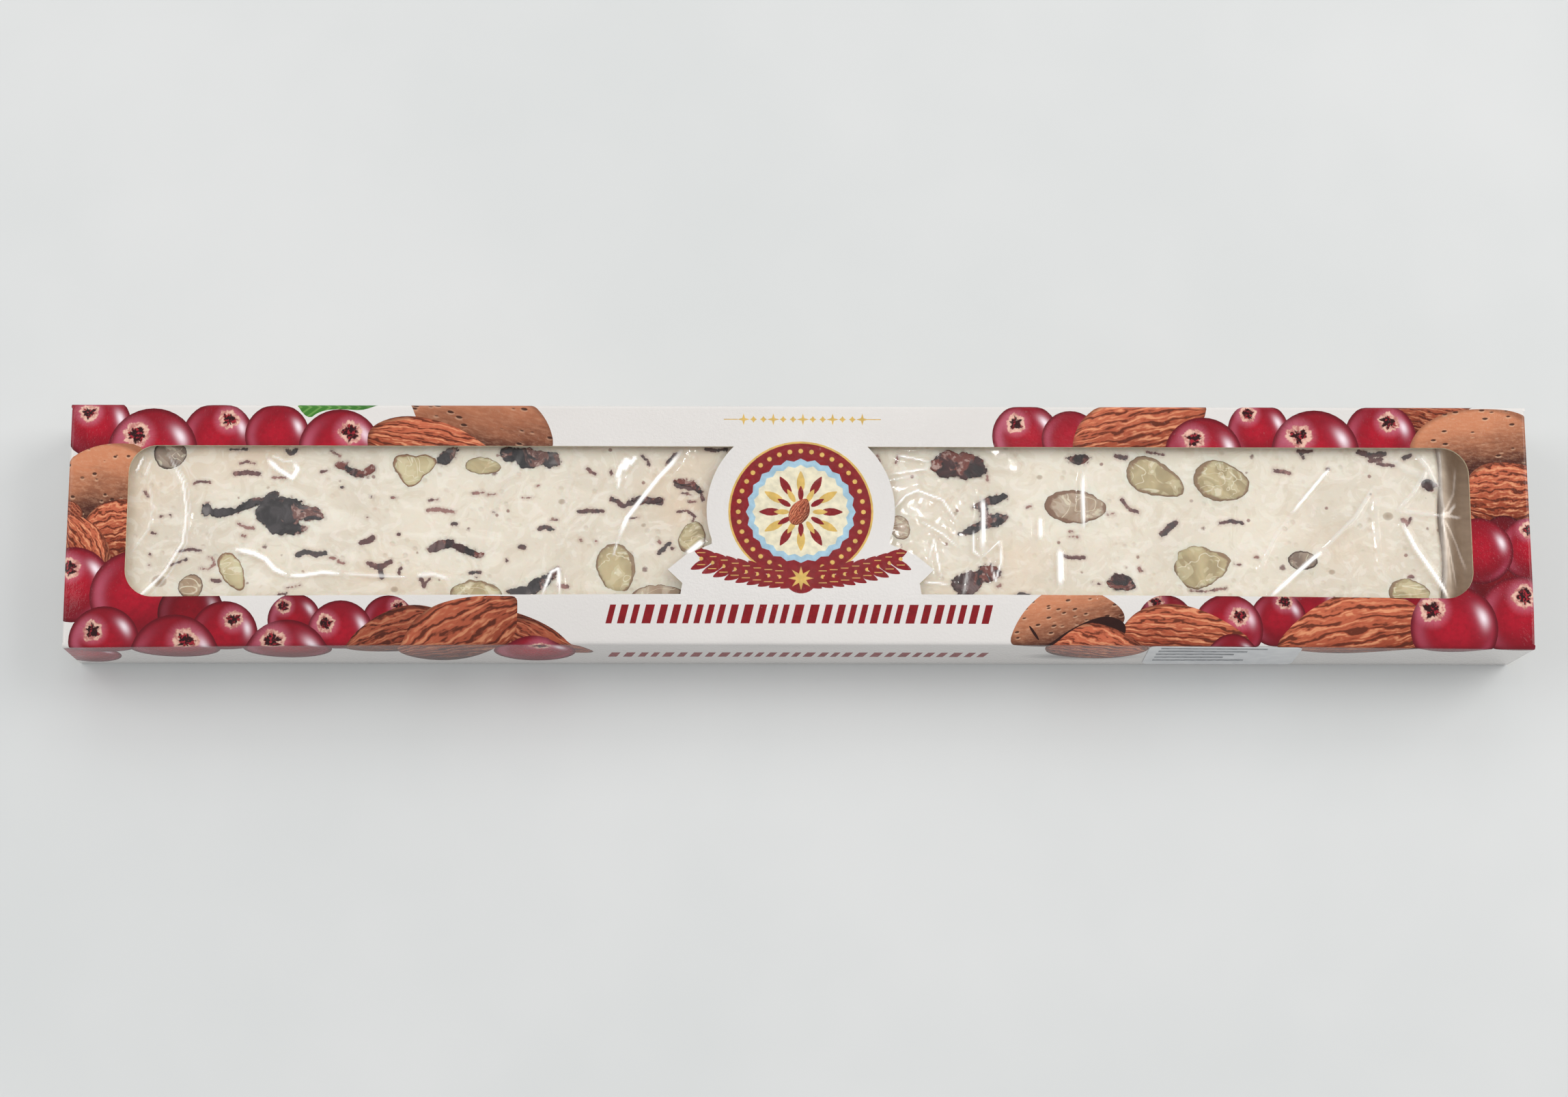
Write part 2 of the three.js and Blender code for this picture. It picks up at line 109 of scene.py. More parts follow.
class Look:
    # a material, with short ways to the nodes that it is built from
    def __init__(self, name, **fixed):
        self.material = bpy.data.materials.new(name)
        self.material.use_nodes = True
        self.tree = self.material.node_tree
        self.shader = next(n for n in self.tree.nodes if n.type == "BSDF_PRINCIPLED")
        self.out = next(n for n in self.tree.nodes if n.type == "OUTPUT_MATERIAL")
        self.set(**fixed)

    def set(self, **fed):
        for key, value in fed.items():
            self.feed(self.shader.inputs[socketNames[key]], value)

    def feed(self, socket, value):
        # a link, a colour's screen code or a plain value
        if isinstance(value, Wire):
            self.tree.links.new(value.socket, socket)
        else:
            socket.default_value = paint(value) if isinstance(value, str) else value

    def node(self, kind, settings=None, sockets=None, output=0):
        made = self.tree.nodes.new(kind)
        for key, value in (settings or {}).items():
            setattr(made, key, value)
        for key, value in (sockets or {}).items():
            self.feed(made.inputs[key], value)
        return Wire(self, made.outputs[output])

    def maths(self, kind, a, b=0.0):
        return self.node("ShaderNodeMath", {"operation": kind}, {0: a, 1: b})

    def root(self, value):
        return self.maths("SQRT", value)

    def sine(self, turns):
        return self.maths("SINE", turns)

    def place(self):
        return self.node("ShaderNodeTexCoord", output="Object")

    def uv(self, name):
        return self.node("ShaderNodeUVMap", {"uv_map": name})

    def value(self, name, output="Fac"):
        return self.node("ShaderNodeAttribute", {"attribute_name": name}, output=output)

    def apart(self, vector):
        made = self.node("ShaderNodeSeparateXYZ", {}, {0: vector})
        return [Wire(self, end) for end in made.socket.node.outputs]

    def joined(self, x, y, z=0.0):
        return self.node("ShaderNodeCombineXYZ", {}, {0: x, 1: y, 2: z})

    def scaled(self, vector, factors):
        return self.node("ShaderNodeVectorMath", {"operation": "MULTIPLY"}, {0: vector, 1: factors})

    def shifted(self, vector, steps):
        return self.node("ShaderNodeVectorMath", {"operation": "ADD"}, {0: vector, 1: steps})

    def noise(self, vector, scale, detail=3.0, rough=0.5, twist=0.0):
        sockets = {"Vector": vector, "Scale": scale, "Detail": detail}
        sockets.update({"Roughness": rough, "Distortion": twist})
        return self.node("ShaderNodeTexNoise", {}, sockets)

    def cells(self, vector, scale, output="Distance"):
        return self.node("ShaderNodeTexVoronoi", {}, {"Vector": vector, "Scale": scale}, output)

    def ease(self, value, low, high):
        # 0 below low, 1 above high, smooth between them
        sockets = {0: value, 1: low, 2: high}
        return self.node("ShaderNodeMapRange", {"interpolation_type": "SMOOTHSTEP"}, sockets)

    def tint(self, share, a, b, kind="MIX"):
        settings = {"data_type": "RGBA", "blend_type": kind}
        return self.node("ShaderNodeMix", settings, {0: share, 6: a, 7: b}, 2)

    def blob(self, s, t, x, y, width, height):
        # 1 at the middle of a soft oval spot, falling to 0 outside it
        a, b = (s - x) / width, (t - y) / height
        return 2.718 ** -(a * a + b * b)

    def bump(self, height, distance, strength=1.0, under=None):
        sockets = {"Height": height, "Distance": distance, "Strength": strength}
        if under is not None:
            sockets["Normal"] = under
        return self.node("ShaderNodeBump", {}, sockets)


def stand(name, data):
    held = bpy.data.objects.new(name, data)
    bpy.context.scene.collection.objects.link(held)
    return held


def claim(piece, node):
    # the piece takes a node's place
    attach(piece, "root")
    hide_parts(node)
    return piece


def addPiece(name, points, faces, looks, node, smooth=True):
    # points in millimetres
    mesh = bpy.data.meshes.new(name)
    mesh.from_pydata([(x * mm, y * mm, z * mm) for x, y, z in points], [], [tuple(f) for f in faces])
    for look in looks:
        mesh.materials.append(look.material)
    mesh.polygons.foreach_set("use_smooth", [smooth] * len(mesh.polygons))
    mesh.update()
    return claim(stand(name, mesh), node)


def addValue(piece, name, values, domain="POINT"):
    held = piece.data.attributes.new(name, "FLOAT", domain)
    held.data.foreach_set("value", np.asarray(values, dtype=np.float32))


def ripple(x, y, z=0.0):
    return noise.noise(Vector((x, y, z)))


def closed(ring):
    # the steps round a ring, each as a pair of points
    return zip(ring, ring[1:] + ring[:1])


def band(low, high):
    # the quads between two rings of points
    return list(zip(low, high, high[1:] + high[:1], low[1:] + low[:1]))


# the print: its gloss, the varnish's peel, and the plain inks
varnished = {"rough": 0.11, "gleam": 0.3}
peel = {"waves": 70, "waveHeight": 0.0006, "grain": 2100, "grainHeight": 0.00006}
flatInks = {"red": "#8a151c", "gold": "#dfb964", "cream": "#efe6c9", "dark": "#2e100a", "sky": "#a9cbdd"}


def varnish(look, place):
    # the fine orange peel of the varnish, over the slow waves of the board
    waves = look.bump(look.noise(place, peel["waves"], 2), peel["waveHeight"], 0.4)
    return look.bump(look.noise(place, peel["grain"], 2, 0.6), peel["grainHeight"], 1.0, waves)


def inkLook(name):
    # a printed finish; its colour is drawn in the motif's own coordinates
    look = Look("print_" + name, **varnished)
    s, t, _ = look.apart(look.uv("motif"))
    look.set(normal=varnish(look, look.place()))
    return look, s, t, look.value("pick"), look.root(s * s + t * t)


def press(look, color):
    # what lies deeper in the heap is printed darker
    look.set(color=look.tint(look.value("dim"), color, (0.3, 0.2, 0.2, 1.0), "MULTIPLY"))


def makeBerryLook():
    look, s, t, pick, reach = inkLook("berry")
    turn = look.maths("ARCTAN2", t, s)
    mottle = look.noise(look.place(), 1100, 4, 0.6)
    skin = look.tint(look.ease(reach, 0.15, 0.85), "#ae0e27", "#8d0a1e")
    skin = look.tint(look.ease(mottle, 0.35, 0.75) * 0.35, skin, "#700617")
    skin = look.tint(look.ease(-t, 0.0, 0.95) * 0.45, skin, "#4c0410")
    # reflected light inside the rim, then the highlight and its white core
    pale = look.blob(reach, abs(turn), 0.8, 3.0, 0.14, 0.7)
    skin = look.tint(pale * (0.18 + 0.45 * pick), skin, "#c6687f")
    skin = look.tint(look.blob(reach, turn, 0.86, -0.75, 0.1, 0.5) * 0.35, skin, "#bf5570")
    lean = turn - 0.25 - 0.4 * pick
    skin = look.tint(look.blob(reach, lean, 0.7, 0.0, 0.19, 0.5) * 0.5, skin, "#c6607a")
    skin = look.tint(look.blob(reach, lean, 0.71, 0.0, 0.1, 0.3) * 0.95, skin, "#fbeaf0")
    skin = look.tint(look.ease(reach, 0.86, 1.0) * 0.65, skin, "#430511")
    # the calyx: a ragged pale ring round a dark hollow, in a soft pink field
    eyeX, eyeY, size = look.apart(look.value("eye", "Vector"))
    p, q = (s - eyeX) / size, (t - eyeY) / size
    out = look.root(p * p + q * q) + 0.001
    way = look.joined(p / out, q / out, pick * 9.0)
    rag = look.noise(way, 1.7, 3, 0.6)
    rays = look.noise(way, 9.0, 2, 0.6)
    field = (1.0 - look.ease(out, 0.7, 1.8)) * (0.25 + 0.45 * rays)
    skin = look.tint(field, skin, "#d98398")
    edge = out + (rag - 0.5) * 1.1
    ring = look.tint(look.ease(mottle, 0.4, 0.65), "#e9bda9", "#b9706b")
    skin = look.tint(1.0 - look.ease(edge, 0.88, 1.04), skin, ring)
    split = look.noise(look.joined(p, q, pick * 5.0), 1.9, 2, 0.5)
    hollow = 1.0 - look.ease(edge + (split - 0.5) * 0.9, 0.5, 0.66)
    seeds = look.noise(look.joined(p, q, pick * 3.0 + 4.0), 3.4, 2, 0.6)
    deep = look.tint(look.ease(seeds, 0.5, 0.62), "#2c070a", "#a02430")
    press(look, look.tint(hollow, skin, deep))
    return look


def makeNutLook():
    look, s, t, pick, reach = inkLook("almond")
    # lines run from tip to tip, closing up towards the ends
    q = t / look.root(look.maths("MAXIMUM", 1.0 - s * s * 0.8, 0.06))
    drift = look.noise(look.joined(s * 1.3, q * 1.1, pick * 11.0), 1.5, 3, 0.55)
    fork = look.noise(look.joined(s * 1.7, q * 3.0, pick * 7.0), 1.6, 3, 0.6)
    fine = look.noise(look.joined(s * 3.0, q * 16.0, pick * 5.0), 1.0, 3)
    breaks = look.noise(look.joined(s * 2.6, q * 4.0, pick * 4.0), 1.5, 3)
    folds = look.sine((q * 3.6 + s * 0.5 + drift * 2.6) * 6.283)
    creases = look.sine((q * 7.4 + s * 0.9 + drift * 3.4 + fork * 2.6) * 6.283)
    depth = folds * 0.5 + creases * 0.42 + (fine - 0.5) * 1.1 + (breaks - 0.5) * 1.3
    skin = look.tint(look.ease(q, -0.8, 0.85), "#8b3820", "#c46647")
    skin = look.tint(look.ease(depth, 0.1, 1.0) * 0.72, skin, "#eea579")
    skin = look.tint(look.ease(-depth, 0.0, 0.65) * 0.85, skin, "#4f1d0d")
    skin = look.tint(look.ease(-t, 0.35, 1.0) * 0.5, skin, "#471a0c")
    press(look, look.tint(look.ease(reach, 0.9, 1.0) * 0.6, skin, "#3c150a"))
    return look


def makeShellLook():
    look, s, t, pick, reach = inkLook("shell")
    cloud = look.noise(look.joined(s, t, pick * 7.0), 2.0, 4)
    fine = look.noise(look.joined(s * 9.0 + t * 3.0, t * 14.0, pick * 3.0), 1.0, 4, 0.7)
    streaks = look.noise(look.joined(s * 2.0 + t * 0.8, t * 11.0, pick * 9.0), 1.0, 3, 0.6)
    slope = t * 0.85 - s * 0.2 + (cloud - 0.5) * 0.6 + (streaks - 0.5) * 0.5
    husk = look.tint(look.ease(slope, -0.7, 0.7), "#4a2017", "#cd8560")
    husk = look.tint(look.ease(fine, 0.42, 0.68) * 0.3, husk, "#dba684")
    husk = look.tint(look.ease(-t, 0.15, 0.75) * 0.6, husk, "#3a1712")
    # pits: dark hollows, each with a lit lower rim
    spacing = 4.4
    spots = look.joined(s * 1.15, t * 1.5, pick * 4.0)
    pit = look.cells(spots, spacing) + (fine - 0.5) * 0.16
    chosen = look.ease(look.apart(look.cells(spots, spacing, "Color"))[0], 0.42, 0.46)
    under = look.cells(look.joined(s * 1.15, t * 1.5 + 0.045, pick * 4.0), spacing)
    husk = look.tint((1.0 - look.ease(under, 0.18, 0.34)) * chosen * 0.5, husk, "#e2b595")
    husk = look.tint((1.0 - look.ease(pit, 0.17, 0.27)) * chosen * 0.92, husk, "#35140a")
    press(look, look.tint(look.ease(reach, 0.88, 1.0) * 0.5, husk, "#532817"))
    return look


def makeCardLooks():
    # all the card's finishes by kind, in the order of its material slots
    board = Look("white_board", **varnished)
    place = board.place()
    cloud = board.noise(place, 25, 3)
    board.set(color=board.tint(board.ease(cloud, 0.3, 0.7), "#dbd7d3", "#e1ddd9"))
    board.set(normal=varnish(board, place))
    looks = {"board": board}
    looks.update({"berry": makeBerryLook(), "almond": makeNutLook(), "shell": makeShellLook()})

    leaf, s, t, _, _ = inkLook("leaf")
    vein = leaf.sine(s * 26.0 + abs(t) * 9.0)
    green = leaf.tint(leaf.ease(vein, 0.2, 0.95) * 0.5, "#3f7a2c", "#84b05e")
    leaf.set(color=leaf.tint(leaf.ease(s, -0.2, 0.9) * 0.5, green, "#255c22"))

    # the soft shadow printed under the heap
    shade, _, _, _, reach = inkLook("shade")
    shade.set(color=shade.tint(shade.ease(reach, 0.1, 1.0), "#8f8c8a", "#e2deda"))
    looks.update({"leaf": leaf, "shade": shade})

    for name, code in flatInks.items():
        flat = inkLook(name)[0]
        grain = flat.noise(flat.place(), 900, 2)
        deep = tuple(c * 0.78 for c in paint(code)[:3]) + (1.0,)
        flat.set(color=flat.tint(flat.ease(grain, 0.25, 0.75), deep, code))
        looks[name] = flat

    inside = Look("board_inside", rough=0.85)
    fibre = inside.noise(inside.scaled(inside.place(), (1.0, 5.0, 5.0)), 350, 4, 0.7)
    inside.set(color=inside.tint(inside.ease(fibre, 0.3, 0.7), "#f0d8ba", "#f8e8d2"))
    inside.set(normal=inside.bump(fibre, 0.00008))

    edge = Look("board_edge", rough=0.8)
    fibre = edge.noise(edge.place(), 1200, 3)
    edge.set(color=edge.tint(edge.ease(fibre, 0.3, 0.7), "#bfb08f", "#d9cdb0"))
    looks.update({"inside": inside, "edge": edge})
    return looks


# the carton is a flat blank: the print is cut into it, then it is folded and bowed
carton = {
    "length": 250,
    "width": 42.3,
    "height": 16,
    "board": 0.45,
    "fold": 0.6,  # radius of the folds
    "bends": 4,  # facets round each fold
    "flapGap": 0.9,
    "sag": 0.25,  # how far the lid dips between its edges
    "droop": 1.1,  # how far the lid's front strip bends down
    "bow": 0.75,  # how far the lid's front edge is drawn back at mid length
    "lean": (0.4, 1.7),  # how far the foot of the left and the right end stands in
    # loose points of the board, along and across: start, spacing, count and offset
    "loose": ((-124, 4.0, 63, 0.37), (-35, 3.0, 24, 0.21)),
}
window = {
    "outerEnd": 114.8,
    "back": 13.9,
    "front": -12.7,
    "corner": 4.8,
    "shield": 16.1,
    "shieldY": 2.6,
    "shoulder": -2.6,  # where the shield's arc meets the ear
    "ear": [(15.2, -3.5), (19.6, -5.5), (22.7, -8.2), (20.2, -10.7), (20.5, -12.7)],
}


def bow(x, y, z):
    # the panels are never quite true: the lid dips, its front edge draws back, the ends lean in
    half, high, end = carton["width"] / 2, carton["height"], carton["length"] / 2
    across = max(0.0, 1 - (y / half) ** 2)
    along = max(0.0, 1 - (x / end) ** 8)
    lid = carton["sag"] * across * along * (0.6 + 0.4 * math.sin(x * 0.043 + 0.8) * math.cos(y * 0.08))
    up = z / high
    front = max(0.0, (window["front"] - y) / (half + window["front"]))
    lid += carton["droop"] * min(1.0, front) ** 1.5
    back = carton["bow"] * max(0.0, 1 - (x / (end - 3)) ** 2) * up
    back *= min(1.0, max(0.0, (window["shieldY"] - y) / (window["shieldY"] - window["front"])))
    lean = carton["lean"][1 if x > 0 else 0] * (abs(x) / end) ** 12 * (1 - up)
    # the lid's own moves fade out a little below it
    return (x - math.copysign(lean, x), y + back, z - lid * max(0.0, (up - 0.85) / 0.15))


def foldPoint(u, v, depth):
    # from the flat blank to the folded carton; depth is measured inwards from the printed face
    half, high, r = carton["width"] / 2, carton["height"], carton["fold"]
    end, side, way = carton["length"] / 2, 1 if v >= 0 else -1, 1 if u > 0 else -1
    a, c = abs(v), abs(u)

    def turned(past):
        # sine and cosine of the way round a fold, at the radius that the depth leaves
        turn = (past + r) / (2 * r) * math.pi / 2
        return (r - depth) * math.sin(turn), (r - depth) * math.cos(turn)

    if a <= half - r:
        y, z = a, high - depth
    elif a < half + r:
        out, up = turned(a - half)
        y, z = half - r + out, high - r + up
    elif a <= half + high - r:
        y, z = half - depth, high - (a - half)
    elif a < half + high + r:
        down, out = turned(a - half - high)
        y, z = half - r + out, r - down
    else:
        y, z = half - (a - half - high), depth
    x = u
    if c > end - r and a <= half - carton["flapGap"]:
        if c < end + r:
            out, up = turned(c - end)
            x, z = way * (end - r + out), high - r + up
        else:
            x, z = way * (end - depth), high - (c - end)
    return bow(x, side * y, z)


def outline(ring, at, size, turn=0.0):
    # at, size and turn give the frame that a motif's own coordinates are taken in
    return {"ring": ring, "at": at, "size": size, "turn": turn}


def oval(x, y, a, b, turn=0.0, steps=30, point=0.0):
    # point draws one end out
    c, s = math.cos(math.radians(turn)), math.sin(math.radians(turn))
    ring = []
    for i in range(steps):
        angle = math.tau * i / steps
        p = math.cos(angle)
        q = math.sin(angle) * (1 - point * max(0.0, p) ** 1.5)
        ring.append((x + a * p * c - b * q * s, y + a * p * s + b * q * c))
    return outline(ring, (x, y), (a, b), turn)


def patch(ring, turn=0.0):
    # an outline given point by point, with its corners rounded off
    for _ in range(2):
        cut = []
        for (ax, ay), (bx, by) in closed(ring):
            cut.append((ax * 0.75 + bx * 0.25, ay * 0.75 + by * 0.25))
            cut.append((ax * 0.25 + bx * 0.75, ay * 0.25 + by * 0.75))
        ring = cut
    c, s = math.cos(math.radians(turn)), math.sin(math.radians(turn))
    ps, qs = [x * c + y * s for x, y in ring], [y * c - x * s for x, y in ring]
    p, q = (min(ps) + max(ps)) / 2, (min(qs) + max(qs)) / 2
    size = ((max(ps) - min(ps)) / 2, (max(qs) - min(qs)) / 2)
    return outline(ring, (p * c - q * s, p * s + q * c), size, turn)


def star(x, y, outer, inner, points):
    ring = []
    for i in range(2 * points):
        angle = math.pi * i / points
        radius = inner if i % 2 else outer
        ring.append((x + radius * math.cos(angle), y + radius * math.sin(angle)))
    return outline(ring, (x, y), (outer, outer))


def slab(x, y, a, b, slant=0.0):
    ring = [(x - a - slant, y - b), (x + a - slant, y - b), (x + a + slant, y + b), (x - a + slant, y + b)]
    return outline(ring, (x, y), (a, b))


noEye = (9, 9, 0.2)  # a calyx so far off that it doesn't show
plain = {"kind": "board", "pick": 0.5, "dim": 0.0, "eye": noEye}


def stamp(rows, kind, shape, pick=0.5, dim=0.0, eye=noEye):
    # one more printed motif; pick sets it apart from the next of its kind
    rows.append({**shape, "kind": kind, "pick": pick, "dim": dim, "eye": eye})


def heapOfFruit():
    # the printed heap, from back to front; x and y are millimetres on the blank
    rows = []

    def berry(x, y, r, eye=None, dim=0.0, tall=None):
        eye = ((eye[0] - x) / r, (eye[1] - y) / r, 0.29) if eye else noEye
        stamp(rows, "berry", oval(x, y, r, tall or r, 0, 36), (x * 0.37 + y * 0.61) % 1.0, dim, eye)

    def nut(ring, turn=0.0, kind="almond", dim=0.0):
        x, y = ring[0]
        stamp(rows, kind, patch(ring, turn), (x * 0.29 + y * 0.47) % 1.0, dim)

    # back edge, left of the middle
    berry(-120.6, 17.5, 5.9, (-121.9, 19.6))
    berry(-99.8, 15.4, 6.1, (-98, 18.4))
    berry(-89.7, 15.7, 5.5)
    berry(-110.9, 12.7, 7.7, (-113.7, 15.7))
    nut([(-87.4, 22.6), (-84.6, 18.3), (-82.5, 20), (-79.2, 20.4), (-74.4, 20), (-71.3, 22.4)], 0, "leaf")
    berry(-79, 13.3, 7, (-77.2, 16.2))
    half = [(-67.8, 24), (-66.3, 19.5), (-64.2, 14.8), (-60, 10), (-44, 10), (-42.2, 13.8), (-43, 17.3)]
    nut(half + [(-44.8, 20.2), (-47.4, 22.4), (-50, 24)], -12, "shell", 0.3)
    ring = [(-74.4, 14.4), (-73.9, 17.2), (-70.1, 19), (-65.8, 19.2), (-61, 18), (-57.1, 16.2)]
    nut(ring + [(-52, 12.5), (-56, 9), (-66, 9), (-73.3, 11.5)], -8)
    # back edge, right of the middle
    berry(38.7, 15.8, 5.8, (37, 18.1))
    berry(46.4, 15.3, 5)
    ring = [(46.5, 12), (47, 16.4), (49, 19.6), (53, 22.2), (60, 24), (69.8, 23.6), (70, 19), (65, 13)]
    nut(ring + [(60, 10)], 14)
    berry(78.8, 16.8, 5.3, (77, 19.8))
    berry(69.2, 12.5, 6.7, (67.5, 15.3))
    nut([(100, 22.8), (118, 23.5), (113, 18.5), (106.9, 15), (103, 18.4)], -8, "almond", 0.35)
    berry(99.8, 15.7, 6.2, (101.4, 18.4))
    berry(88.5, 12.9, 7.6, (85.6, 15.9))
    # right end
    ring = [(104, 12.5), (106.2, 17.3), (110.3, 19.8), (114.2, 20.8), (119.1, 21), (123.4, 20.4)]
    nut(ring + [(126.8, 18.6), (128, 13), (124.9, 8.5), (114.5, 8.5)], 4, "shell")
    nut([(112, 7.5), (116.1, 4.1), (118.6, -0.6), (112, -1)], -40, "almond", 0.2)
    ring = [(113, 5), (114.8, 9.4), (117.7, 11.3), (122, 11.4), (127, 10.4), (129, 5), (126.8, 0.8)]
    nut(ring + [(121.5, 0.2), (117.5, -0.4), (115, 2.0)], 4)
    berry(119.6, -9.4, 7.4, dim=0.85)
    berry(120.4, -1.6, 3.6, dim=0.8)
    berry(124.8, -4.0, 5.5, (124.6, -0.5))
    berry(116, -4.3, 5.8)
    berry(122.6, -15.9, 7.2, (123.3, -12.2))
    # left end
    ring = [(-127.5, 6), (-125.6, 10.9), (-122.3, 13.2), (-118, 14.3), (-112, 14), (-109, 6)]
    nut(ring + [(-113.7, -0.7), (-124.7, -0.5)], -4, "shell")
    nut([(-127, 3.6), (-124, 4.4), (-121.8, 1.6), (-123.6, 0), (-127, 0)], -30, "almond", 0.5)
    berry(-117.6, -6.4, 5, dim=0.9)
    ring = [(-122.4, -1.5), (-121.6, 1.4), (-119.6, 3.4), (-117, 4.4), (-112, 4.4), (-111, -3)]
    nut(ring + [(-114.4, -6.4), (-119, -5.6)], 14)
    ring = [(-128, 1.6), (-122.6, 1.6), (-119.6, -0.6), (-117.6, -3.6), (-117, -7), (-121.6, -6)]
    nut(ring + [(-128, -5)], -50)
    berry(-123.5, -10.5, 6.5, (-124.2, -7.6))
    berry(-112.8, -12.4, 7.8)
    # front edge, left of the middle
    berry(-103.4, -15.6, 5.6, dim=0.7)
    berry(-121.6, -28.4, 5.4, dim=0.1, tall=7)
    berry(-97.7, -19.3, 5.7, (-96.2, -16.7), 0.2)
    berry(-118, -20.3, 6, (-119.9, -18.4), 0.15)
    berry(-106.1, -23.4, 7.6, (-104.2, -20.3), 0.15)
    berry(-85.9, -16.9, 4.5, (-87.7, -14.5), 0.35)
    berry(-70, -17.2, 4.4, (-68.4, -14.7), 0.35)
    berry(-78.1, -19.2, 5.6, (-80.6, -17.6), 0.15)
    berry(-87.2, -24.3, 7.5, (-89.4, -20.4), 0.15)
    ring = [(-78.2, -24.6), (-76.8, -20.2), (-73, -16.9), (-68.8, -14.8), (-65.1, -14.3)]
    nut(ring + [(-61.3, -15.2), (-60, -20), (-66, -27), (-74, -27.4)], 24, "almond", 0.6)
    ring = [(-51, -15), (-45, -16.9), (-40.4, -19.6), (-37.2, -23.8), (-34.6, -28.6), (-40, -28.4)]
    nut(ring + [(-52, -26)], -32, "almond", 0.55)
    blunt = [(-68.8, -25.5), (-68.2, -22), (-66.3, -17.6), (-63.5, -15.2), (-60.2, -13.8), (-55, -12.9)]
    blunt += [(-50.6, -13), (-48.2, -13), (-48.1, -15.2), (-48.3, -19.6), (-51, -22.4), (-53, -27)]
    nut(blunt + [(-57, -32.4), (-61, -34.4), (-65, -33.4), (-68.2, -29.5)], 34, "almond", 0.35)
    berry(-45.4, -27, 7, (-44.2, -23.2), tall=7.3)
    # front edge, right of the middle
    nut([(34, -30), (40, -27.4), (50, -27.4), (62, -29), (60, -33.6), (46, -34)], 0, "shade")
    berry(62, -17.4, 4.8, (60.4, -13.8), 0.35)
    berry(105.2, -14.2, 3.4, dim=0.5)
    berry(87.4, -15.7, 5.4, dim=0.35)
    berry(81.2, -16.7, 4.8, (82.3, -13.6), 0.2)
    berry(72.6, -18.4, 6, (74.6, -16.2))
    ring = [(53, -20.4), (56, -16.2), (58.9, -14.6), (62.3, -14), (66.1, -14.4), (70.3, -16)]
    nut(ring + [(74, -18.1), (77, -20.4), (73, -22), (63.5, -25)], -2)
    berry(73.4, -23.4, 4.3, dim=0.3)
    dome = [(35.3, -21), (36.2, -18.3), (37.7, -15.8), (39.4, -13.9), (41.8, -12), (45.6, -11)]
    dome += [(49.6, -11.8), (52.2, -13.2), (54.4, -14.8), (55.2, -16.5), (54.5, -17.9), (52.6, -18.2)]
    nut(dome + [(50.2, -19.2), (47.4, -20), (45, -21.6), (43, -23), (41, -23.4), (37.4, -22.6)], 12, "shell")
    hollow = [(41, -22), (44.4, -19.4), (47, -17.9), (50, -16.6), (52.5, -16.2), (55.2, -17.3)]
    nut(hollow + [(55.2, -19.6), (52.6, -20.6), (49, -21.4), (45.9, -23.1), (43, -24.2)], 0, "dark")
    stamp(rows, "dark", oval(39.6, -19.2, 1.5, 0.24, -56, 12))
    ring = [(42.4, -21.6), (46, -18.6), (49, -17.2), (52.6, -18), (56.3, -19.8), (59, -22)]
    nut(ring + [(59.6, -25.5), (57.5, -29.6), (53, -32.4), (47, -31.6), (42.5, -28.8), (41.4, -24)], -18)
    ring = [(80.4, -21.4), (83, -18), (86.5, -15), (90.8, -12.5), (96, -11.4), (102.3, -12.5)]
    ring += [(105, -14.1), (107, -16.4), (107.4, -18.8), (106.4, -22), (101, -24.8)]
    nut(ring + [(94, -27.3), (88, -26.7), (83, -24)], 12)
    berry(111.2, -17.8, 7.5, (107.5, -14.6))
    return rows


def arc(x, y, radius, start, stop, steps):
    turns = [start + (stop - start) * i / steps for i in range(steps + 1)]
    return [(x + radius * math.cos(a), y + radius * math.sin(a)) for a in turns]


def windowLights():
    # the two lights of the window, each as a ring on the lid
    w, r = window, window["corner"]
    tip = math.asin((w["back"] - w["shieldY"]) / w["shield"])
    shoulder = math.asin((w["shoulder"] - w["shieldY"]) / w["shield"])
    ring = arc(w["outerEnd"] - r, w["back"] - r, r, math.pi / 2, 0, 12)
    ring += arc(w["outerEnd"] - r, w["front"] + r, r, 0, -math.pi / 2, 12)
    ring += w["ear"][::-1] + arc(0, w["shieldY"], w["shield"], shoulder, tip, 20)
    return [[(side * x, y) for x, y in ring] for side in (-1, 1)]


medallion = {
    "x": 0,
    "y": 2.4,
    "radius": 12.4,
    "rim": 0.35,
    "beads": (36, 1.7, 0.42),  # how many, how far in from the rim, and their size
    "scallops": 24,
    "rays": 12,
    "leaves": ((5.3, 1.9), (3.3, 1.3)),  # on each ray: how far out, and how long
}
garland = {
    "y": -9.8,
    "pairs": 9,
    "first": 1.8,
    "apart": 1.9,
    "low": -9.7,
    "sweep": 0.012,
    "spread": 1.1,
    "leaf": (2.0, 0.78),
}


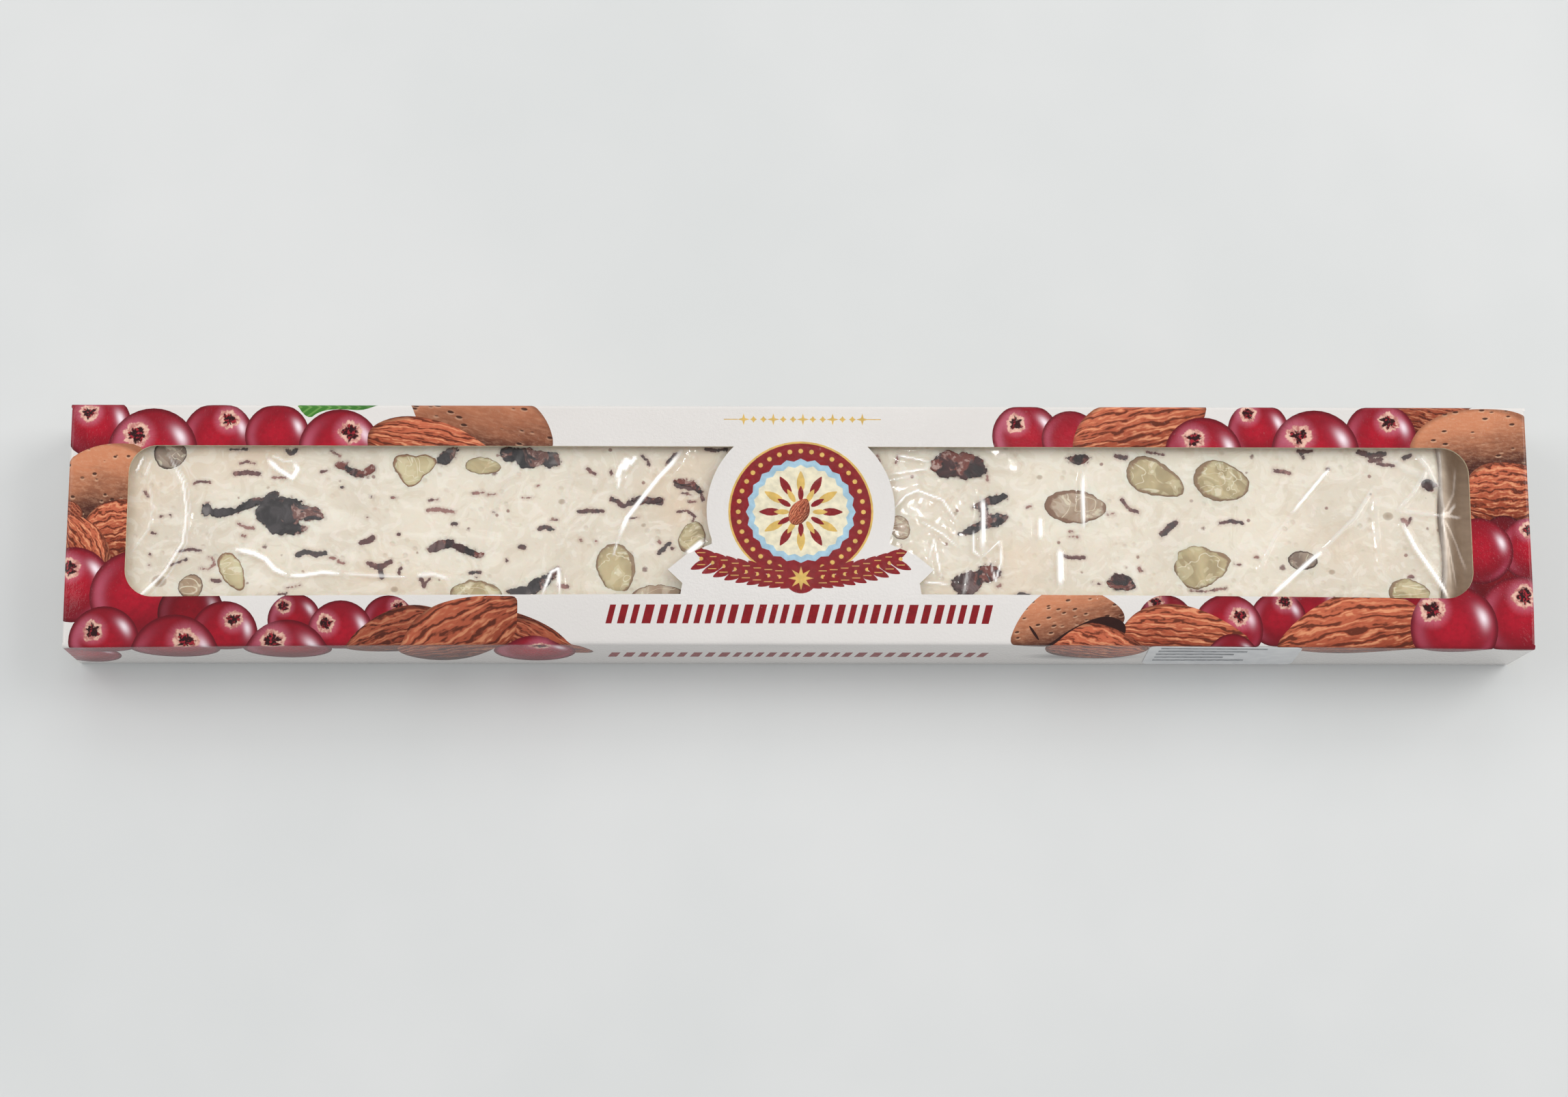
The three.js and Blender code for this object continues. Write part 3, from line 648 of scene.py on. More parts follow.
def badge():
    # a wreathed medallion round an almond, and a low garland under it
    rows = []
    x, y, r, teeth = (medallion[key] for key in ("x", "y", "radius", "scallops"))
    stamp(rows, "gold", oval(x, y, r, r, 0, 56))
    stamp(rows, "red", oval(x, y, r - medallion["rim"], r - medallion["rim"], 0, 56))
    beads, inset, size = medallion["beads"]
    for i in range(beads):
        angle = math.tau * i / beads
        beadX, beadY = x + (r - inset) * math.cos(angle), y + (r - inset) * math.sin(angle)
        stamp(rows, "gold", oval(beadX, beadY, size, size, 0, 8))
    stamp(rows, "sky", star(x, y, r - 3.0, r - 3.5, teeth))
    stamp(rows, "cream", star(x, y, r - 4.1, r - 4.6, teeth))
    for i in range(medallion["rays"]):
        # a long and a short leaf on each ray, in turns red and gold
        angle = math.tau * i / medallion["rays"]
        for order, (reach, size) in enumerate(medallion["leaves"]):
            leafX, leafY = x + reach * math.cos(angle), y + reach * math.sin(angle)
            leaf = oval(leafX, leafY, size, size * 0.38, math.degrees(angle), 14, 0.6)
            stamp(rows, "gold" if (i + order) % 2 else "red", leaf)
    stamp(rows, "almond", oval(x - 0.2, y, 2.6, 1.7, 62, 26, 0.35), 0.3)
    for side in (-1, 1):
        # two rows of laurel leaves reach out to the ears, with gold lines between them
        for i in range(garland["pairs"]):
            out = garland["first"] + i * garland["apart"]
            leafX, drop = side * out, garland["low"] + garland["sweep"] * out * out
            for way in (-1, 1):
                leafY = drop + way * garland["spread"]
                turn = (8 + 34 * way) if side > 0 else 180 - (8 + 34 * way)
                stamp(rows, "red", oval(leafX, leafY, *garland["leaf"], turn, 16, 0.5))
                stamp(rows, "gold", slab(leafX, leafY, 0.7, 0.07))
            stamp(rows, "gold", oval(leafX, drop, 0.36, 0.36, 0, 8))
    stamp(rows, "red", oval(0, garland["y"], 2.8, 2.8, 0, 30))
    stamp(rows, "gold", star(0, garland["y"], 2.2, 0.9, 8))
    return rows


lozenges = {
    "rows": (-16.1, -29.8),  # one on the lid, one on the front
    "left": -33,
    "right": 32,
    "widths": (0.7, 0.85, 1.05),
    "tall": 1.6,
    "slant": 0.4,
    "gap": 0.5,
}
goldStars = {"y": 18.7, "first": -9.8, "apart": 1.7, "count": 13, "lines": (-12.0, 12.6)}


def borders():
    # rows of slanted lozenges, and a row of small stars between two short lines
    rows = []
    draw = random.Random(4)
    for y in lozenges["rows"]:
        x = lozenges["left"]
        while x < lozenges["right"]:
            wide = draw.choice(lozenges["widths"])
            stamp(rows, "red", slab(x + wide, y, wide * 0.72, lozenges["tall"], lozenges["slant"]))
            x += 2 * wide + lozenges["gap"]
    y = goldStars["y"]
    for i in range(goldStars["count"]):
        x = goldStars["first"] + i * goldStars["apart"]
        stamp(rows, "gold", star(x, y, 0.6 if i % 3 else 1.05, 0.33, 4))
    for x in goldStars["lines"]:
        stamp(rows, "gold", slab(x, y, 1.2, 0.08))
    return rows


def oblong(x0, y0, x1, y1):
    return [(x0, y0), (x1, y0), (x1, y1), (x0, y1)]


def blankParts():
    # the panels, the narrow strips that let the folds bend, and loose points that let panels bow
    half, high, r = carton["width"] / 2, carton["height"], carton["fold"]
    end, flap = carton["length"] / 2, high - r
    around, wide = half + high + half, half - carton["flapGap"]
    panels = [oblong(-end, -around, end, around)]
    panels += [oblong(side * end, -wide, side * (end + flap), wide) for side in (-1, 1)]
    strips = []
    facets = range(-carton["bends"] // 2, carton["bends"] // 2)
    for middle in (half, half + high):
        for side in (-1, 1):
            for k in facets:
                low, top = middle + k * r / 2, middle + (k + 1) * r / 2
                strips.append(oblong(-end, side * low, end, side * top))
    for side in (-1, 1):
        for k in facets:
            a, b = side * (end + k * r / 2), side * (end + (k + 1) * r / 2)
            strips.append(oblong(a, -wide, b, wide))
    along, across = ([start + i * apart + off for i in range(n)] for start, apart, n, off in carton["loose"])
    loose = [(x, y) for x in along for y in across]
    return panels, strips, loose


def cutBlank(shapes):
    # the blank's flat points, the cells that are board, and the shape that each one shows
    panels, strips, loose = blankParts()
    lights = windowLights()
    rings = panels + strips + lights + [shape["ring"] for shape in shapes]
    firstLight = len(panels) + len(strips)
    firstShape = firstLight + len(lights)
    points, faces = [], []
    for ring in rings:
        # every ring runs anticlockwise
        area = sum(a[0] * b[1] - b[0] * a[1] for a, b in closed(ring))
        ring = ring if area > 0 else ring[::-1]
        faces.append(list(range(len(points), len(points) + len(ring))))
        points += [Vector(p) for p in ring]
    points += [Vector(p) for p in loose]
    flat, _, cells, _, _, held = delaunay_2d_cdt(points, [], faces, 1, 1e-5, True)
    kept, owners = [], []
    for cell, inside in zip(cells, held):
        onPanel = any(i < len(panels) for i in inside)
        if onPanel and not any(firstLight <= i < firstShape for i in inside):
            shape = max((i for i in inside if i >= firstShape), default=None)
            kept.append(list(cell))
            owners.append(plain if shape is None else shapes[shape - firstShape])
    used = sorted({i for cell in kept for i in cell})
    again = {old: new for new, old in enumerate(used)}
    return [flat[i] for i in used], [[again[i] for i in cell] for cell in kept], owners


def makeCarton(looks):
    shapes = heapOfFruit() + badge() + borders()
    flat, cells, owners = cutBlank(shapes)
    points = [foldPoint(p.x, p.y, 0.0) for p in flat]
    points += [foldPoint(p.x, p.y, carton["board"]) for p in flat]
    count = len(flat)
    kinds = [owner["kind"] for owner in owners]
    # the printed side, the inner side, then the cut edges of the board
    steps = [step for cell in cells for step in closed(cell)]
    known = set(steps)
    cuts = [(a, b) for a, b in steps if (b, a) not in known]
    faces = cells + [[count + i for i in reversed(cell)] for cell in cells]
    faces += [(b, a, count + a, count + b) for a, b in cuts]
    kinds += ["inside"] * len(cells) + ["edge"] * len(cuts)
    owners += [plain] * (len(faces) - len(cells))
    order = list(looks)
    piece = addPiece("carton_print", points, faces, looks.values(), "carton")
    mesh = piece.data
    mesh.set_sharp_from_angle(angle=math.radians(35))
    mesh.polygons.foreach_set("material_index", [order.index(kind) for kind in kinds])
    motifs = mesh.uv_layers.new(name="motif")
    addValue(piece, "pick", [owner["pick"] for owner in owners], "FACE")
    addValue(piece, "dim", [owner["dim"] for owner in owners], "FACE")
    eyes = mesh.attributes.new("eye", "FLOAT_VECTOR", "FACE")
    eyes.data.foreach_set("vector", [v for owner in owners for v in owner["eye"]])
    local = np.zeros((len(mesh.loops), 2), np.float32)
    for poly, owner in zip(mesh.polygons, owners):
        if owner is plain:
            continue
        c, s = math.cos(math.radians(owner["turn"])), math.sin(math.radians(owner["turn"]))
        for loop in poly.loop_indices:
            place = flat[mesh.loops[loop].vertex_index % count]
            dx, dy = place.x - owner["at"][0], place.y - owner["at"][1]
            local[loop] = ((dx * c + dy * s) / owner["size"][0], (dy * c - dx * s) / owner["size"][1])
    motifs.data.foreach_set("uv", local.ravel())
    mesh.update()
    print("carton:", len(mesh.polygons), "faces,", len(shapes), "printed shapes")


# the bar: a grid for its cut face, which rolls down over its sides
bar = {
    "left": -116.4,
    "right": 110,
    "width": 39.2,
    "bottom": 1.3,
    "top": 14.2,
    "step": 0.315,
    "inset": 0.45,  # room that the wavy long edges need
    "edge": 0.9,  # width of the rounding along the rim
    "wave": 0.5,  # how far the cut ends wander
    "skin": 1.2,  # how deep the shreds stain the sides
    "levels": (0.35, 0.7, 0.96, 1.0),  # rings down the sides, as shares of the height
}

# shreds of cranberry in the cut face: half width, darkness, and a line of points along each
strands = [
    (0.19, 0.3, [(-96.1, 11.1), (-94.9, 11.5), (-93.6, 11.1)]),
    (0.38, 0.5, [(-97, 9.3), (-95.1, 9.6), (-92.7, 9.3)]),
    (0.19, 0.1, [(-90.4, 8.7), (-88.1, 8.6)]),
    (0.24, 0.4, [(-103.9, 7.6), (-102.6, 8), (-101.1, 7.8)]),
    (0.24, 0.1, [(-96.1, 0.6), (-94.9, -0.1), (-93.5, -0.3)]),
    (0.24, 0.5, [(-106.2, -4.4), (-104.3, -4), (-102.4, -4.2)]),
    (0.19, 0.6, [(-107.4, -6.8), (-106.2, -6.2), (-104.7, -5.8)]),
    (0.24, 0.4, [(-110.8, -1.1), (-110.2, -1.2)]),
    (0.19, 0.0, [(-102.3, -7.2), (-101, -7.5), (-99.8, -6.6), (-100.3, -5.5), (-101, -5.4)]),
    (0.29, 0.6, [(-100.2, -9.3), (-98.9, -9.5)]),
    (0.43, 1.0, [(-85.9, -5), (-84.6, -4.3), (-82.8, -4.8), (-81.2, -4.6)]),
    (0.19, 0.1, [(-80.4, -5.4), (-79.2, -5.5), (-78.7, -6.2), (-77.9, -6.3)]),
    (0.43, 0.6, [(-75, -2.8), (-74, -2.5), (-73.1, -1.9)]),
    (0.43, 0.5, [(-73.7, -6.4), (-71.9, -7.1), (-70, -6.1)]),
    (0.43, 0.7, [(-71.8, -6.9), (-71.4, -8.7)]),
    (0.29, 0.1, [(-63.9, 2.9), (-62, 3.1), (-59.3, 2.6)]),
    (0.34, 0.8, [(-59.4, 0.6), (-58.9, 0.5)]),
    (0.24, 0.7, [(-73.5, 5.3), (-73.2, 5.3)]),
    (0.24, 0.4, [(-70, 5.1), (-69.5, 5.1)]),
    (0.24, 0.7, [(-78.7, 7), (-78.4, 7)]),
    (0.24, 0.6, [(-89.1, -12.4), (-88.6, -11.7), (-87.5, -11.6)]),
    (0.14, 0.2, [(-87.7, -10.6), (-86.4, -10.5), (-85.1, -10.2)]),
    (0.24, 0.5, [(-68.2, -7.1), (-68.5, -8.1)]),
    (0.24, 0.3, [(-82.2, 9.7), (-81.2, 9.9)]),
    (0.19, 0.3, [(-80.6, 13.4), (-79.1, 12.5)]),
    (0.38, 0.9, [(-88.2, 13.5), (-87.4, 12.9), (-86.6, 13.6)]),
    (0.24, 0.9, [(-97.8, 13.6), (-95.1, 13.6)]),
    (0.24, 0.6, [(-68.8, -1.2), (-68.6, -1.3)]),
    (0.19, 0.3, [(-74.1, 1.7), (-74, 1.6)]),
    (0.24, 0.5, [(-64.6, -9.1), (-64, -10), (-63.2, -8.9)]),
    (0.19, 0.2, [(-112.2, 6.2), (-111.7, 5.3)]),
    (0.19, 0.3, [(-109.3, 1.8), (-109, 1.8)]),
    (0.19, 0.5, [(-107.8, 2.1), (-107.6, 2)]),
    (0.19, 0.3, [(-111, -4.9), (-110.9, -5)]),
    (0.19, 0.2, [(-111.1, -6.8), (-111, -6.8)]),
    (0.24, 0.1, [(-95.4, -1.5), (-94.9, -1.7)]),
    (0.24, 0.2, [(-56.2, 5.9), (-54.4, 6.1)]),
    (0.14, 0.2, [(-53.8, 5.7), (-52.3, 5.8)]),
    (0.14, 0.2, [(-47.7, 5.3), (-46, 5.2)]),
    (0.34, 0.8, [(-44.7, -0.2), (-43.5, 0), (-42.4, -0.4)]),
    (0.14, 0.4, [(-42.8, 1.3), (-41.5, 1.3)]),
    (0.38, 0.8, [(-47.9, -3.4), (-47.3, -3.5)]),
    (0.24, 0.6, [(-50.3, -5.7), (-50.1, -5.9)]),
    (0.29, 0.8, [(-56.5, -8), (-54.7, -7.9)]),
    (0.19, 0.7, [(-55.5, -8.6), (-55.3, -8.7)]),
    (0.29, 0.3, [(-64.8, -9.1), (-64.2, -10.3)]),
    (0.34, 0.7, [(-38, 2.7), (-36.2, 3), (-33.9, 2.8)]),
    (0.29, 0.3, [(-36.6, 10.4), (-36.1, 9.8), (-35.3, 9.4)]),
    (0.38, 0.6, [(-32.4, 5), (-31.4, 4.5), (-30.3, 3.7)]),
    (0.43, 0.8, [(-29.5, 4.2), (-27.7, 4.7), (-26, 4.9), (-23.9, 4.3)]),
    (0.14, 0.5, [(-29.7, 1.5), (-27.7, 1.8)]),
    (0.24, 0.6, [(-27.2, 12.6), (-26.3, 11.8), (-26, 11)]),
    (0.29, 0.8, [(-22.8, 11.5), (-21.9, 12.6), (-21.3, 13.1)]),
    (0.48, 0.7, [(-21.2, 7.6), (-19.2, 7.1), (-17.9, 7.1)]),
    (0.29, 0.5, [(-17.9, 7.1), (-17.2, 6.1), (-16.7, 4.9)]),
    (0.19, 0.4, [(-21.1, 2.7), (-19.5, 3), (-18.1, 1.9), (-18.5, 1.2)]),
    (0.19, 0.4, [(-20.4, 6.1), (-18.6, 5.7)]),
    (0.19, 0.3, [(-19.2, 4.6), (-18, 4.5)]),
    (0.38, 0.8, [(-24.2, -4.4), (-23.3, -3.6), (-22.5, -2.8)]),
    (0.29, 0.6, [(-22.1, -3.6), (-21.9, -3.7)]),
    (0.29, 0.1, [(-24.3, -2.4), (-24.1, -2.6)]),
    (0.24, 0.1, [(-35.1, -2.4), (-34.9, -2.5)]),
    (0.24, 0.4, [(-37.7, -2.2), (-37.5, -2.3)]),
    (0.24, 0.6, [(-32.6, 9.9), (-32.4, 9.4)]),
    (0.34, 0.3, [(-41.2, -10.2), (-39.8, -10.4)]),
    (0.19, 0.3, [(-63.6, 4.7), (-62.2, 4.8)]),
    (0.29, 0.9, [(-16.3, 13.9), (-14.5, 13.6), (-12.7, 13.9)]),
    (0.19, 0.2, [(-45.2, 7.3), (-44.9, 7.3)]),
    (0.19, 0.4, [(-52.6, 2.7), (-52.4, 2.6)]),
    (0.19, 0.2, [(13.3, 12.7), (13.6, 11.4)]),
    (0.19, 0.3, [(16.8, 12.7), (16.4, 11.5)]),
    (0.19, 0.2, [(32, 9.7), (32.2, 8.4)]),
    (0.19, 0.0, [(38.8, 3.7), (39.5, 3.8)]),
    (0.29, 0.4, [(55.1, 5.1), (55.8, 4.2), (56.7, 3.2), (58, 2.8)]),
    (0.24, 0.1, [(52.7, 2.5), (53.8, 2.5)]),
    (0.19, 0.1, [(46, -1.5), (47.4, -1.6)]),
    (0.14, 0.1, [(46, -0.5), (46.7, -0.6)]),
    (0.29, 0.6, [(44.9, -4.8), (46.2, -5.2), (48.5, -5.1)]),
    (0.53, 0.8, [(62.1, -1), (63.2, 0.2), (64.3, 1)]),
    (0.14, 0.3, [(49.8, -9.5), (51.1, -9.9)]),
    (0.19, 0.3, [(57.9, -6.9), (58.1, -7.4), (58.6, -7.5)]),
    (0.29, 0.1, [(33.6, -10.1), (34, -10.1)]),
    (0.43, 1.0, [(36.8, -11.9), (37.7, -11.6), (38.9, -11.9)]),
    (0.29, 0.5, [(54.3, 12.8), (55.3, 12.3), (56.1, 12.7)]),
    (0.29, 0.7, [(71.9, 1), (73.9, 1.3), (75.8, 1)]),
    (0.34, 0.4, [(81.6, 10.3), (83.1, 10.1), (84.2, 9.8)]),
    (0.19, 0.3, [(57.7, -7), (58, -7.5), (58.5, -7.5)]),
    (0.19, 0.3, [(66.4, -10.9), (69.3, -11), (72.7, -10.5)]),
    (0.24, 0.3, [(77.9, -5), (78.2, -5.1)]),
    (0.14, 0.2, [(74.2, -6.2), (75.2, -6.4)]),
    (0.29, 0.4, [(99.6, 11.4), (102.3, 11.2)]),
    (0.29, 0.6, [(98.1, 12), (100.2, 12.4)]),
    (0.43, 0.7, [(96.3, 13.6), (98.3, 13), (100.7, 13.3)]),
    (0.29, 0.8, [(86.3, 13.4), (86.7, 12.5)]),
    (0.19, 0.4, [(59.6, 13.5), (62.5, 13)]),
    (0.34, 0.2, [(103.4, 1.6), (104.1, 1.1)]),
    (0.29, 0.3, [(104.1, 0.7), (104.8, 1.8)]),
    (0.24, 0.3, [(104.1, -8.4), (104.8, -8.5)]),
    (0.38, 0.8, [(104, 12.5), (105.1, 12.9)]),
    (0.38, 0.7, [(55, 12.7), (55.9, 12.3)]),
    (0.24, 0.3, [(90.6, 10.5), (91, 10.5)]),
    (0.29, 0.5, [(85.8, 13.7), (88.2, 13.7)]),
]

# clear grains of sugar and nut in the paste: x, y, radius
grains = [
    (-40.9, 4.5, 0.77),
    (-26.9, 0.4, 0.58),
    (41.1, 9, 0.67),
    (26.5, 2.6, 0.58),
    (100.9, 2.2, 1.06),
    (-109.2, -9.5, 1.45),
    (90.9, -7.6, 0.72),
    (-91.2, 6.9, 0.48),
    (53.5, -3.4, 0.24),
    (-69.2, -10.9, 0.8),
    (12.5, -6, 0.6),
]

# specks of fruit: how fine, from which chance on one shows, size and colour
specks = [(230, 0.86, 0.16, "#6a3b38"), (520, 0.9, 0.22, "#8c6459")]


def makeNougatLook():
    look = Look("nougat", rough=0.5, depth=0.25, depthScale=0.004)
    place = look.place()
    cloud = look.noise(place, 42, 4, 0.6)
    streak = look.noise(look.scaled(place, (1.0, 2.4, 1.0)), 90, 4, 0.6, 1.5)
    fine = look.noise(place, 320, 4, 0.6)
    paste = look.tint(look.ease(cloud, 0.3, 0.7), "#dbd0be", "#e9dfcd")
    paste = look.tint(look.ease(streak, 0.52, 0.7) * 0.6, paste, "#f3ebdc")
    paste = look.tint(look.ease(look.value("warm"), 0.1, 0.9) * 0.6, paste, "#e2bf9b")
    paste = look.tint(look.ease(fine, 0.45, 0.75) * 0.3, paste, "#f2eadb")
    smear = look.noise(look.shifted(place, (0.2, 0.4, 0)), 240, 3, 0.5, 2.0)
    paste = look.tint(look.ease(smear, 0.54, 0.6) * 0.35, paste, "#f6efe3")
    paste = look.tint((1.0 - look.ease(smear, 0.36, 0.42)) * 0.3, paste, "#d3c3ab")
    grain = look.value("grain")
    paste = look.tint(look.ease(grain, 0.0, 0.3) * (0.4 + 0.42 * grain), paste, "#94795c")
    # round the stones and shreds the paste is stained, then frayed
    rag = look.noise(place, 1000, 4, 0.65)
    nap = look.noise(place, 3200, 2)
    field = look.value("shred") + (rag - 0.5) * 0.95 + (nap - 0.5) * 0.3
    paste = look.tint(look.ease(field, -0.55, 0.1) * 0.4, paste, "#a98a7d")
    depth = look.value("tone") + (look.noise(place, 700, 3) - 0.5) * 1.3
    flesh = look.tint(look.ease(depth, 0.1, 0.5), "#94655d", "#56292b")
    flesh = look.tint(look.ease(depth, 0.55, 1.0), flesh, "#231a20")
    paste = look.tint(look.ease(field, -0.03, 0.1) * 0.95, paste, flesh)
    for scale, share, size, code in specks:
        speck = look.cells(place, scale) + (nap - 0.5) * 0.12
        chance = look.apart(look.cells(place, scale, "Color"))[0]
        dots = (1.0 - look.ease(speck, size * 0.5, size)) * look.ease(chance, share, share + 0.02)
        paste = look.tint(dots * 0.85, paste, code)
    # pores: small dents, painted darker as the shade in the holes
    pore = look.cells(look.shifted(place, (0.3, 0.1, 0)), 520)
    pit = (1.0 - look.ease(pore, 0.1, 0.32)) * look.ease(look.noise(place, 150, 2), 0.45, 0.65)
    look.set(color=look.tint(pit * 0.25, paste, "#b39d80"))
    hills = look.bump(look.noise(place, 200, 4, 0.55), 0.0004, 0.5)
    pits = look.bump(1.0 - pit, 0.0002, 0.6, hills)
    look.set(normal=look.bump(fine, 0.0001, 0.5, pits))
    return look


def segmentGap(xs, ys, a, b):
    # distance from each point to a segment, and how far along it the nearest point lies
    dx, dy = b[0] - a[0], b[1] - a[1]
    t = np.clip(((xs - a[0]) * dx + (ys - a[1]) * dy) / (dx * dx + dy * dy), 0, 1)
    return np.hypot(xs - a[0] - t * dx, ys - a[1] - t * dy), t


def barEdge(x, seed):
    return 0.26 * math.sin(0.049 * x + seed) + 0.14 * math.sin(0.15 * x + 2 * seed)


def barGrid():
    step, left, right = bar["step"], bar["left"], bar["right"]
    half, top = bar["width"] / 2, bar["top"]
    columns, rows = int((right - left) / step), int(bar["width"] / step)
    points, faces = [], []
    for i in range(columns + 1):
        t = i / columns
        straight = left + (right - left) * t
        low = -half + bar["inset"] + barEdge(straight, 1.3)
        high = half - bar["inset"] + barEdge(straight, 2.9)
        nearEnd = min(t, 1 - t) * (right - left)
        for j in range(rows + 1):
            s = j / rows
            y = low + (high - low) * s
            inward, bend, turn = (-1, 0.42, 0.6) if t > 0.5 else (1, 0.37, 2.1)
            wander = (0.5 + 0.5 * math.sin(bend * y + turn)) * bar["wave"] * max(0.0, 1 - nearEnd / 4)
            x = straight + inward * wander
            edge = min(nearEnd, min(s, 1 - s) * (high - low))
            rounding = 0.5 * (1 - min(1.0, edge / bar["edge"])) ** 2
            swell = 0.1 * ripple(x * 0.05, y * 0.08) + 0.05 * ripple(x * 0.3, y * 0.35, 4)
            points.append((x, y, top - 0.06 - rounding + swell * min(1.0, edge / 2)))
    span = rows + 1
    for i in range(columns):
        for j in range(rows):
            a = i * span + j
            faces.append((a, a + span, a + span + 1, a + 1))
    rim = [i * span for i in range(columns + 1)] + [columns * span + j for j in range(1, rows + 1)]
    rim += [i * span + rows for i in range(columns - 1, -1, -1)] + [j for j in range(rows - 1, 0, -1)]
    return points, faces, rim


def makeNougat(fruitEdges):
    points, faces, rim = barGrid()
    half, above = bar["width"] / 2, rim
    for level in bar["levels"]:
        # the sides hang from the rim; they bulge, and tuck in at the foot
        below = list(range(len(points), len(points) + len(rim)))
        for index in rim:
            x, y, z = points[index]
            bulge = 0.12 * math.sin(math.pi * level) + 0.06 * ripple(x * 0.2, y * 0.2, level * 3)
            tuck = 0.35 if level == 1.0 else 0.0
            grow = 1 + (bulge - tuck) / half
            x = min(max(x, bar["left"] + 0.02), bar["right"] - 0.02)
            points.append((x, y * grow, z + (bar["bottom"] - z) * level))
        faces += band(above, below)
        above = below
    faces.append(above[::-1])
    piece = addPiece("nougat_bar", points, faces, [makeNougatLook()], "nougat")
    xs, ys, zs = np.array(points).T
    depth, tone = np.full(len(points), -3.0), np.zeros(len(points))
    for wide, dark, line in strands:
        for a, b in zip(line, line[1:]):
            inside = wide * 1.15 - segmentGap(xs, ys, a, b)[0]
            tone = np.where(inside > depth, dark, tone)
            depth = np.maximum(depth, inside)
    # a stained fringe round each cranberry
    fringe = 0.12 - np.array([fruitEdges.find((x, y, bar["top"]))[2] for x, y in zip(xs, ys)])
    tone = np.where(fringe > depth, 0.3, tone)
    depth = np.maximum(depth, fringe)
    addValue(piece, "shred", np.where(zs < bar["top"] - bar["skin"], -3.0, depth))
    addValue(piece, "tone", tone)
    addValue(piece, "grain", np.max([r - np.hypot(xs - x, (ys - y) * 1.25) for x, y, r in grains], axis=0))
    warm = [ripple(x * 0.028 + 9, y * 0.05, 2.0) + 0.35 * ripple(x * 0.1, y * 0.13) for x, y, _ in points]
    warm = np.array(warm) + 0.25 * (ys < -12) + 0.1 * (xs < -60)
    addValue(piece, "warm", np.clip(warm * np.interp(xs, [40, 70], [1.0, 0.45]), 0, 1))
    print("nougat:", len(points), "points")


# almond slices: their flesh and skin, the grid of each, and how they stand in the face
nutSlice = {"rings": 12, "sectors": 72, "crown": 0.12, "fall": 0.16, "skirt": 1.2}
nutTones = {
    "pale": ("#b8a67c", "#d2c39b", "#8c5c3f", "#dccfab"),
    "green": ("#a79570", "#c9b88f", "#8a6a50", "#dccfab"),
    "beige": ("#a58c75", "#c1ad97", "#7f5a45", "#d0bfab"),
    "tan": ("#93795f", "#b79c7e", "#6e5140", "#c6b29b"),
    "dark": ("#7b6759", "#a08c7b", "#503a30", "#bdad9c"),
}
nutOrder = ["dark", "tan", "pale", "pale"] + ["green"] * 4 + ["beige"] * 3 + ["green"] * 3
nutOrder += ["dark", "green"]
# slices broken to a rough triangle: how strongly, and where a corner points in degrees
broken = {
    "almond_02": (0.07, 80),
    "almond_04": (0.17, 25),
    "almond_12": (0.06, 100),
    "almond_14": (0.04, 10),
}


def makeAlmondLook(name, ground, light, skin, chalk):
    look = Look("almond_" + name, rough=0.4, depth=0.3, depthScale=0.003, gleam=0.3)
    place = look.place()
    cloud = look.noise(place, 150, 2, 0.5, 1.5)
    meat = look.tint(look.ease(cloud, 0.3, 0.7), ground, light)
    # glassy flesh lies next to chalky flesh, with a sharp edge between them
    glass = look.noise(look.shifted(place, (0.3, 0.1, 0)), 210, 2, 0.45, 1.8)
    meat = look.tint(look.ease(glass, 0.53, 0.56) * 0.5, meat, chalk)
    meat = look.tint(look.ease(glass, 0.64, 0.66) * 0.6, meat, "#ebe1c8")
    seam = look.noise(look.scaled(place, (1, 1.7, 1)), 120, 2, 0.5, 1.5)
    meat = look.tint((1.0 - look.ease(abs(seam - 0.5), 0.004, 0.014)) * 0.7, meat, "#ece2c9")
    edge = look.value("rim") + (look.noise(place, 800, 3) - 0.5) * 0.3
    meat = look.tint(look.ease(edge, 0.7, 0.95) * 0.5, meat, ground)
    wide = 0.88 - 0.13 * look.ease(look.noise(place, 110, 2), 0.45, 0.65)
    look.set(color=look.tint(look.ease(edge, wide, wide + 0.09) * 0.85, meat, skin))
    look.set(normal=look.bump(cloud, 0.0005, 0.6))
    return look


